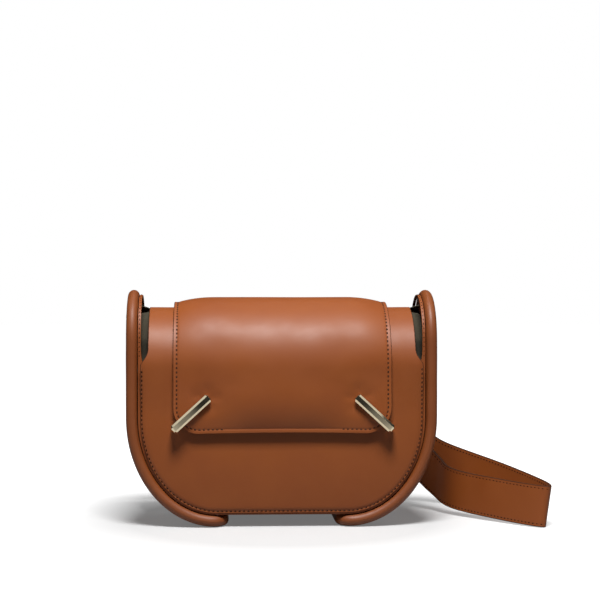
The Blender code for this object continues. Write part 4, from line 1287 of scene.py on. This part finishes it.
def lip_stations():
    """Right half of a seam strip: (point at the rim, point at its inner edge, ear's turn)."""
    stations = []
    for step in range(CORNER_ROWS + 1):
        angle = math.pi / 2 * (1 - step / CORNER_ROWS)
        stations.append((corner_point(WELT_INSET, angle),
                         corner_point(WELT_INSET + WELT_WIDTH, angle), 0))
    outer_x = HALF_WIDTH - WELT_INSET
    below = NOTCH_Z - NOTCH_LENGTH
    for z, width in ((below, WELT_WIDTH), (NOTCH_Z, WELT_LIP), (EAR_CENTRE_Z, WELT_LIP)):
        stations.append(((outer_x, z), (outer_x - width, z), 0))
    for step in range(1, EAR_STEPS // 2 + 1):
        angle = math.pi / 2 * step / (EAR_STEPS // 2) * LIP_END_SHARE
        stations.append(((outer_x, EAR_CENTRE_Z), (outer_x - WELT_LIP, EAR_CENTRE_Z), angle))
    return stations


def lip_point(station, side, share, facing):
    """A point of a seam strip, a share of its width in from the rim."""
    outer, inner, angle = station
    x = outer[0] + (inner[0] - outer[0]) * share
    z = outer[1] + (inner[1] - outer[1]) * share
    radius = RIM_HALF_SPAN + WELT_LEATHER / 2
    return Vector((side * x, facing * radius * math.cos(angle), z + radius * math.sin(angle)))


def make_welt(name, facing):
    """The seam strip that joins both rims to one panel and runs on up the ears."""
    stations = lip_stations()
    half = len(stations)

    def place(column, row):
        right = row >= half
        station = stations[row - half if right else half - 1 - row]
        share = column / LIP_COLUMNS if facing > 0 else 1 - column / LIP_COLUMNS
        return lip_point(station, 1 if right else -1, share, facing)

    item = hide(name + "_leather", LIP_COLUMNS, 2 * half - 1, place, WELT_LEATHER, HIDE,
                even=False)
    stand_for(item, "bag", "leather", name)
    paths = []
    for side in (-1, 1):
        path = []
        for station in stations[CORNER_ROWS + 2:]:
            angle = station[2]
            normal = Vector((0, facing * math.cos(angle), math.sin(angle)))
            path.append((lip_point(station, side, 0.5, facing), normal))
        paths.append(path)
    sew(name + "_seam", name + "_leather", paths, "bag", LIP_STITCH_SHARE)


def make_flap():
    """Flap leather over its pad, its lining, and the seam round it."""
    start = FOLD_RADIUS + CLEARANCE
    rows = flap_rows(0, start)
    share = SWELL_START
    fill = lambda item: swell(item, flap_held, flap_most)

    def outside(column, row):
        run, half = rows[row]
        return flap_top(-across(column, FLAP_COLUMNS) * half, run, share)

    # Its outer columns are dark edge paint and painted shade along the flap's sides
    item = hide("flap_leather", FLAP_COLUMNS, len(rows) - 1, outside, LEATHER, HIDE,
                edge_paint_and_gap_shade=True, fill=fill)
    stand_for(item, "flap", "leather", "flap", "flap_pad")
    lining_rows = flap_rows(LAYER_GAP, start)

    def underside(column, row):
        run, half = lining_rows[row]
        return flap_point(-across(column, LAYER_COLUMNS) * half, run, LINING)

    item = hide("flap_cloth", LAYER_COLUMNS, len(lining_rows) - 1, underside, LINING, ("lining",))
    stand_for(item, "flap", "lining", "flap_lining")
    inset = SEWN_INSET + FLAP_SEWN_STEP
    bottom = FLAP_RUN - inset
    first = FLAP_HALF - FLAP_CORNER
    paths = []
    for side in (-1, 1):
        path = []
        places = [(side * half, run) for run, half in flap_rows(inset, start + inset)]
        for step in range(1, SIDE_ROWS + 1):
            places.append((side * (first + (FLAP_SEAM_END - first) * step / SIDE_ROWS), bottom))
        for x, run in places:
            angle = FOLD_ANGLE + min(run, FLAP_ARC) / FLAP_INSIDE
            path.append((flap_top(x, run), Vector((0, math.cos(angle), math.sin(angle)))))
        paths.append(path)
    sew("flap_seam", "flap_leather", paths, "flap")


def make_fold():
    """Leather skin over the fold, from the back's top onto the flap."""

    def section(x):
        low = back_point(x, BACK_TOP_Z - FOLD_SKIN_REACH, -FOLD_SKIN)
        top = back_point(x, BACK_TOP_Z, -FOLD_SKIN)
        begin = flap_point(x, FOLD_RADIUS + CLEARANCE, FLAP_EDGE_RISE + FOLD_SKIN)
        far = flap_point(x, FOLD_SKIN_REACH, FLAP_EDGE_RISE + FOLD_SKIN)
        return [low, top, begin, far]

    spans = 3

    def place(column, row):
        x = -across(column, LAYER_COLUMNS) * (FLAP_HALF - CLEARANCE)
        span = min(row // STRAP_STEPS, spans - 1)
        return spline_point(section(x), span, row / STRAP_STEPS - span)

    item = hide("fold_leather", LAYER_COLUMNS, spans * STRAP_STEPS, place, FOLD_SKIN, HIDE)
    settle(item)
    begin = flap_point(0, FOLD_SKIN_REACH / 2, FLAP_EDGE_RISE)
    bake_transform(item)
    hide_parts("flap_fold")


def pivot_place(side, rise):
    """A bar's post, local +Z out of the flap, at a rise above the flap's underside."""
    where = Vector((side * BAR_PIVOT_X, ROLL_Y - FLAP_INSIDE - rise, BAR_PIVOT_Z))
    return Matrix.Translation(where) @ Matrix.Rotation(math.pi / 2, 4, 'X')


def arc(centre, radius, first, last, steps):
    """Points of an arc between two angles."""
    angles = [first + (last - first) * step / steps for step in range(steps + 1)]
    return [(centre[0] + radius * math.cos(a), centre[1] + radius * math.sin(a)) for a in angles]


def make_bar(side, label):
    """A polished clasp bar with chamfered edges, bent over at its outer end."""
    end = BAR_LENGTH - BAR_TAIL
    leg = BAR_STANDOFF + FLAP_GAP - BAR_LEG_GAP
    outline = [(-BAR_TAIL, 0), (end - BAR_LEG, 0), (end - BAR_LEG, -leg), (end, -leg)]
    outline += arc((end - BAR_BEND, BAR_THICKNESS - BAR_BEND), BAR_BEND, 0, math.pi / 2, BEND_STEPS)
    outline += arc((BAR_TAIL_ROUND - BAR_TAIL, BAR_THICKNESS - BAR_TAIL_ROUND), BAR_TAIL_ROUND,
                   math.pi / 2, math.pi, BEND_STEPS)
    count = len(outline)
    points = [(x, y, z) for y in (-BAR_WIDTH / 2, BAR_WIDTH / 2) for x, z in outline]
    faces = [tuple(range(count)), tuple(range(2 * count - 1, count - 1, -1))]
    for corner in range(count):
        after = (corner + 1) % count
        faces.append((after, corner, count + corner, count + after))
    mesh = bpy.data.meshes.new(label + "bar_metal")
    mesh.from_pydata(points, [], faces)
    face_outward(mesh)
    aim = -BAR_ANGLE if side > 0 else math.pi + BAR_ANGLE
    mesh.transform(pivot_place(side, BAR_STANDOFF) @ Matrix.Rotation(aim, 4, 'Z'))
    item = put(label + "bar_metal", mesh, "gold")
    for name, width, segments, angle in (("Chamfer", BAR_CHAMFER, 1, BAR_EDGE_ANGLE),
                                         ("Burr", BAR_BURR, 2, BAR_BURR_ANGLE)):
        edge = item.modifiers.new(name, 'BEVEL')
        edge.width = width
        edge.segments = segments
        edge.limit_method = 'ANGLE'
        edge.angle_limit = angle
    settle(item)
    item.data.shade_smooth()
    item.data.set_sharp_from_angle(angle=BAR_FLAT_ANGLE)
    stand_for(item, label + "bar", "pale_gold", label + "bar")


def spline_point(points, span, share):
    """A point on the smooth curve through a list of points."""
    before = points[max(span - 1, 0)]
    start = points[span]
    end = points[span + 1]
    after = points[min(span + 2, len(points) - 1)]
    leave = (end - before) / 2
    arrive = (after - start) / 2
    square, cube = share * share, share ** 3
    return ((2 * cube - 3 * square + 1) * start + (cube - 2 * square + share) * leave
            + (3 * square - 2 * cube) * end + (cube - square) * arrive)


def strap_end(side):
    """The strap's centre line at one ear, from its rounded tip to the rim it crosses."""
    rows = []
    length = STRAP_TIP + STRAP_RAMP
    steps = 2 * STRAP_STEPS
    tip = [STRAP_TIP_ROUND * (1 - math.cos(math.pi / 2 * step / steps)) for step in range(steps)]
    rest = [STRAP_TIP_ROUND + (length - STRAP_TIP_ROUND) * step / steps for step in range(steps)]
    for run in tip + rest:
        y = run - STRAP_TIP
        ramp = smooth(y, STRAP_FLAT, STRAP_RAMP)
        x = STRAP_EAR_X + (STRAP_OVER_RIM_X - STRAP_EAR_X) * ramp
        short = max(1 - run / STRAP_TIP_ROUND, 0)
        half = STRAP_WIDTH / 2 - STRAP_TIP_ROUND * (1 - math.sqrt(1 - short * short))
        rows.append((Vector((side * x, y, STRAP_Z)), half))
    return rows


def strap_rows():
    """The strap's stations from ear to ear: (centre, half width vector, outward)."""
    route = [Vector((-STRAP_OVER_RIM_X, STRAP_RAMP, STRAP_Z))]
    for x, y, z in STRAP_ROUTE_SHARES:
        climb = STRAP_REST_Z + (STRAP_Z - STRAP_REST_Z) * z
        route.append(Vector((x * HALF_WIDTH, y * RIM_HALF_SPAN, climb)))
    route.append(Vector((STRAP_OVER_RIM_X, STRAP_RAMP, STRAP_Z)))
    rows = strap_end(-1)
    for span in range(len(route) - 1):
        for step in range(STRAP_STEPS):
            rows.append((spline_point(route, span, step / STRAP_STEPS), STRAP_WIDTH / 2))
    rows.append((route[-1], STRAP_WIDTH / 2))
    rows += reversed(strap_end(1))
    stations = []
    for index, (point, half) in enumerate(rows):
        before = rows[max(index - 1, 0)][0]
        after = rows[min(index + 1, len(rows) - 1)][0]
        along = (after - before).normalized()
        up = Vector((STRAP_LEAN * smooth(point.x, HALF_WIDTH, 3 * HALF_WIDTH / 2), 0, 1))
        width = (up - along * up.dot(along)).normalized()
        stations.append((point, width * half, width.cross(along)))
    return stations


def make_strap():
    """The strap, with sewn lines inside both painted edges, front and back."""
    stations = strap_rows()

    def place(column, row):
        point, width, out = stations[row]
        share = across(column, STRAP_COLUMNS)
        inside = (1 - abs(share)) * width.length
        return point + share * width - out * SEWN_DEPTH * groove(inside, STRAP_SEWN, SEWN_WIDTH)

    item = hide("strap_leather", STRAP_COLUMNS, len(stations) - 1, place, STRAP_THICKNESS,
                ("leather", "leather", "edge"), offset=0, even=False, edge_paint_and_gap_shade=True)
    stand_for(item, "bag", "leather", "strap")
    paths = []
    for face in (-1, 1):
        for edge in (-1, 1):
            path = []
            for point, width, out in stations[STRAP_STEPS // 2:-STRAP_STEPS // 2]:
                reach = edge * (width.length - STRAP_SEWN) * width.normalized()
                path.append((point + reach + face * out * STRAP_THICKNESS / 2, face * out))
            paths.append(path)
    sew("strap_seam", "strap_leather", paths, "bag", STRAP_STITCH_SHARE)


def make_studs(side, label):
    """Two domed studs that hold the strap's end to an ear."""
    turn = Matrix.Rotation(side * math.pi / 2, 4, 'Y')
    seat = 2 * CLEARANCE + STRAP_THICKNESS
    inside = -(GUSSET_LEATHER + 2 * CLEARANCE + LINING)
    for row, name in ((-1, "lower_stud"), (1, "upper_stud")):
        z = STRAP_Z + row * STUD_PITCH / 2
        where = Matrix.Translation((side * (HALF_WIDTH - GUSSET_INSET), STUD_Y, z)) @ turn
        profile = [(0, inside), (STUD_SHANK_RADIUS, inside), (STUD_SHANK_RADIUS, seat),
                   (STUD_HEAD_RADIUS, seat)]
        for step in range(1, BEND_STEPS + 1):
            angle = math.pi / 2 * step / BEND_STEPS
            profile.append((STUD_HEAD_RADIUS * math.cos(angle),
                            seat + STUD_RIM + (STUD_HEAD - STUD_RIM) * math.sin(angle)))
        profile[-1] = (0, seat + STUD_HEAD)
        item = turned(label + name + "_metal", profile, where, "gold")
        stand_for(item, "bag", "pale_gold", label + name)


SLOT_FINISHES = {
    "leather": "leather", "lining": "lining", "board": "board", "padding": "padding",
    "cord": "cord", "pale_gold": "gold", "steel": "steel",
}


def finish_packed():
    """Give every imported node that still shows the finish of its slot."""
    slots = {part["node"]: part["material_slot"] for part in frame["record"]["subparts"]}
    for name, node in frame["nodes"].items():
        if not node.hide_render:
            node.data.materials.clear()
            node.data.materials.append(finish_for(SLOT_FINISHES[slots[name]]))


# Stage


def area_light(name, place, aim, width, height, power):
    """A soft rectangular lamp pointed at a place."""
    lamp = bpy.data.lights.new(name, 'AREA')
    lamp.shape = 'RECTANGLE'
    lamp.size = width
    lamp.size_y = height
    lamp.energy = power
    item = bpy.data.objects.new(name, lamp)
    item.location = place
    item.rotation_euler = (Vector(aim) - Vector(place)).to_track_quat('-Z', 'Y').to_euler()
    bpy.context.scene.collection.objects.link(item)
    return item


# Each lamp's name, place, aim, width, height and power
LAMPS = (
    ("key", (0.0, -0.66, 1.34), (0, 0, 0.08), 0.44, 0.36, 28.5),
    ("left_strip", (-0.95, -0.55, 0.42), (0, 0, 0.07), 0.06, 0.75, 0.35),
    ("right_strip", (0.95, -0.55, 0.42), (0, 0, 0.07), 0.06, 0.75, 0.35),
    ("left_top", (-0.85, 0.02, 1.00), (0, 0, 0.08), 0.5, 0.5, 0.55),
    ("right_top", (0.85, 0.02, 1.00), (0, 0, 0.08), 0.5, 0.5, 0.55),
    ("back", (0.10, 0.75, 1.35), (0, 0, 0.05), 0.3, 0.3, 0.6),
)


def arithmetic(tree, operation, first, second):
    """The result of one operation on two values in a node tree."""
    node = tree.nodes.new("ShaderNodeMath")
    node.operation = operation
    tree.links.new(first, node.inputs[0])
    tree.links.new(second, node.inputs[1])
    return node.outputs["Value"]


def make_floor():
    """A pale floor that keeps the bag's soft shadow and glows a little to the camera.

    It is darker to all other rays, except near the bag in what the metal mirrors.
    """
    mesh = bpy.data.meshes.new("floor")
    level = FLOOR_Z - FLOOR_GAP
    reach = FLOOR_HALF
    mesh.from_pydata([(-reach, -reach, level), (reach, -reach, level), (reach, reach, level),
                      (-reach, reach, level)], [], [(0, 1, 2, 3)])
    item = bpy.data.objects.new("floor", mesh)
    bpy.context.scene.collection.objects.link(item)
    finish, tree, shader = shader_base("studio_floor", colours().floor, FLOOR_ROUGHNESS)
    shader.inputs["Specular IOR Level"].default_value = FLOOR_GLOSS
    path = tree.nodes.new("ShaderNodeLightPath")
    place = tree.nodes.new("ShaderNodeTexCoord").outputs["Object"]
    away = tree.nodes.new("ShaderNodeVectorMath")
    away.operation = 'LENGTH'
    tree.links.new(place, away.inputs[0])
    near = remap(tree, away.outputs["Value"], MIRROR_START, MIRROR_END, 1, 0)
    mirrored = arithmetic(tree, 'MULTIPLY', path.outputs["Is Glossy Ray"], near)
    bright = arithmetic(tree, 'MAXIMUM', path.outputs["Is Camera Ray"], mirrored)
    shade = shaded(colours().floor, FLOOR_SHADE)
    tree.links.new(blend_colour(tree, bright, shade, colours().floor), shader.inputs["Base Color"])
    far = remap(tree, away.outputs["Value"], GLOW_START, GLOW_END, FLOOR_GLOW_NEAR,
                FLOOR_GLOW_FAR)
    strength = arithmetic(tree, 'MULTIPLY', path.outputs["Is Camera Ray"], far)
    glow = tree.nodes.new("ShaderNodeEmission")
    both = tree.nodes.new("ShaderNodeAddShader")
    tree.links.new(strength, glow.inputs["Strength"])
    tree.links.new(shader.outputs["BSDF"], both.inputs[0])
    tree.links.new(glow.outputs["Emission"], both.inputs[1])
    tree.links.new(both.outputs["Shader"], tree.nodes["Material Output"].inputs["Surface"])
    mesh.materials.append(finish)


def make_world():
    """A white background to the camera, a low level grey light otherwise."""
    world = bpy.data.worlds.new("studio")
    bpy.context.scene.world = world
    world.use_nodes = True
    tree = world.node_tree
    ground = tree.nodes["Background"]
    ground.inputs["Color"].default_value = (1, 1, 1, 1)
    seen = tree.nodes.new("ShaderNodeLightPath").outputs["Is Camera Ray"]
    light = remap(tree, seen, 0, 1, WORLD_LIGHT, 1.0)
    tree.links.new(light, ground.inputs["Strength"])


def make_camera():
    """A level camera at the photograph's place and frame."""
    lens = bpy.data.cameras.new("camera")
    lens.lens = CAMERA_LENS
    lens.sensor_width = CAMERA_SENSOR
    lens.shift_x = (FRAME_PIXELS / 2 - CENTRE_PIXEL_X) / FRAME_PIXELS
    lens.shift_y = (HORIZON_PIXEL_Y - FRAME_PIXELS / 2) / FRAME_PIXELS
    lens.clip_start = 0.01
    item = bpy.data.objects.new("camera", lens)
    item.location = (math.sin(CAMERA_TURN) * CAMERA_DISTANCE,
                     -math.cos(CAMERA_TURN) * CAMERA_DISTANCE, CAMERA_HEIGHT)
    item.rotation_euler = (math.pi / 2, 0, CAMERA_TURN)
    bpy.context.scene.collection.objects.link(item)
    bpy.context.scene.camera = item


def make_stage():
    """Floor, world, lamps and camera."""
    scene = bpy.context.scene
    scene.view_settings.view_transform = 'Standard'
    make_floor()
    make_world()
    for name, place, aim, width, height, power in LAMPS:
        area_light(name, place, aim, width, height, power)
    make_camera()


# Operators


class SATCHEL_OT_front(bpy.types.Operator):
    """Make the front leather, its lining and the sewn line round them"""
    bl_idname = "satchel.front"
    bl_label = "Front Panel"

    def execute(self, context):
        make_front()
        return {'FINISHED'}


class SATCHEL_OT_back(bpy.types.Operator):
    """Make the back leather, its lining, the slip pocket and the sewn lines"""
    bl_idname = "satchel.back"
    bl_label = "Back Panel"

    def execute(self, context):
        make_back()
        return {'FINISHED'}


class SATCHEL_OT_base(bpy.types.Operator):
    """Make the base leather and its lining"""
    bl_idname = "satchel.base"
    bl_label = "Base"

    def execute(self, context):
        make_base()
        return {'FINISHED'}


class SATCHEL_OT_sides(bpy.types.Operator):
    """Make both gussets, padded rims and seam strips"""
    bl_idname = "satchel.sides"
    bl_label = "Gussets and Rims"

    def execute(self, context):
        for side, label in SIDES:
            make_gusset(side, label)
            make_rim(side, label)
        make_welt("front_welt", -1)
        make_welt("back_welt", 1)
        return {'FINISHED'}


class SATCHEL_OT_flap(bpy.types.Operator):
    """Make the padded flap, its lining and the fold that it swings on"""
    bl_idname = "satchel.flap"
    bl_label = "Flap"

    def execute(self, context):
        make_flap()
        make_fold()
        return {'FINISHED'}


class SATCHEL_OT_bars(bpy.types.Operator):
    """Make the two polished clasp bars"""
    bl_idname = "satchel.bars"
    bl_label = "Clasp Bars"

    def execute(self, context):
        for side, label in SIDES:
            make_bar(side, label)
        return {'FINISHED'}


class SATCHEL_OT_strap(bpy.types.Operator):
    """Make the strap and the studs that hold its ends"""
    bl_idname = "satchel.strap"
    bl_label = "Strap"

    def execute(self, context):
        make_strap()
        for side, label in SIDES:
            make_studs(side, label)
        return {'FINISHED'}


class SATCHEL_OT_packed(bpy.types.Operator):
    """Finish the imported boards, magnets, posts, nuts and caps that stay in place"""
    bl_idname = "satchel.packed"
    bl_label = "Packed Parts"

    def execute(self, context):
        finish_packed()
        return {'FINISHED'}


class SATCHEL_OT_stage(bpy.types.Operator):
    """Make the floor, light and camera"""
    bl_idname = "satchel.stage"
    bl_label = "Stage"

    def execute(self, context):
        make_stage()
        return {'FINISHED'}


class SATCHEL_PT_panel(bpy.types.Panel):
    """Lists the bag's pieces and their settings."""
    bl_idname = "SATCHEL_PT_panel"
    bl_label = "Satchel"
    bl_space_type = 'VIEW_3D'
    bl_region_type = 'UI'
    bl_category = "Satchel"

    def draw(self, context):
        layout = self.layout
        for group in (context.scene.satchel_sizes, context.scene.satchel_colours):
            box = layout.box()
            for name in group.bl_rna.properties.keys():
                if name not in ("rna_type", "name"):
                    box.prop(group, name)
        for operator in OPERATORS:
            layout.operator(operator.bl_idname)


OPERATORS = (
    SATCHEL_OT_front, SATCHEL_OT_back, SATCHEL_OT_base, SATCHEL_OT_sides, SATCHEL_OT_flap,
    SATCHEL_OT_bars, SATCHEL_OT_strap, SATCHEL_OT_packed, SATCHEL_OT_stage,
)
CLASSES = (SatchelSizes, SatchelColours, *OPERATORS, SATCHEL_PT_panel)


def register():
    """Register every class and hang the settings on the scene."""
    for item in CLASSES:
        bpy.utils.register_class(item)
    bpy.types.Scene.satchel_sizes = PointerProperty(type=SatchelSizes)
    bpy.types.Scene.satchel_colours = PointerProperty(type=SatchelColours)


def unregister():
    """Take the settings and the classes away again."""
    del bpy.types.Scene.satchel_colours
    del bpy.types.Scene.satchel_sizes
    for item in reversed(CLASSES):
        bpy.utils.unregister_class(item)


def main():
    """Make the whole satchel and its stage."""
    register()
    bpy.ops.satchel.front()
    bpy.ops.satchel.back()
    bpy.ops.satchel.base()
    bpy.ops.satchel.sides()
    bpy.ops.satchel.flap()
    bpy.ops.satchel.bars()
    bpy.ops.satchel.strap()
    bpy.ops.satchel.packed()
    bpy.ops.satchel.stage()


if __name__ == "__main__":
    main()
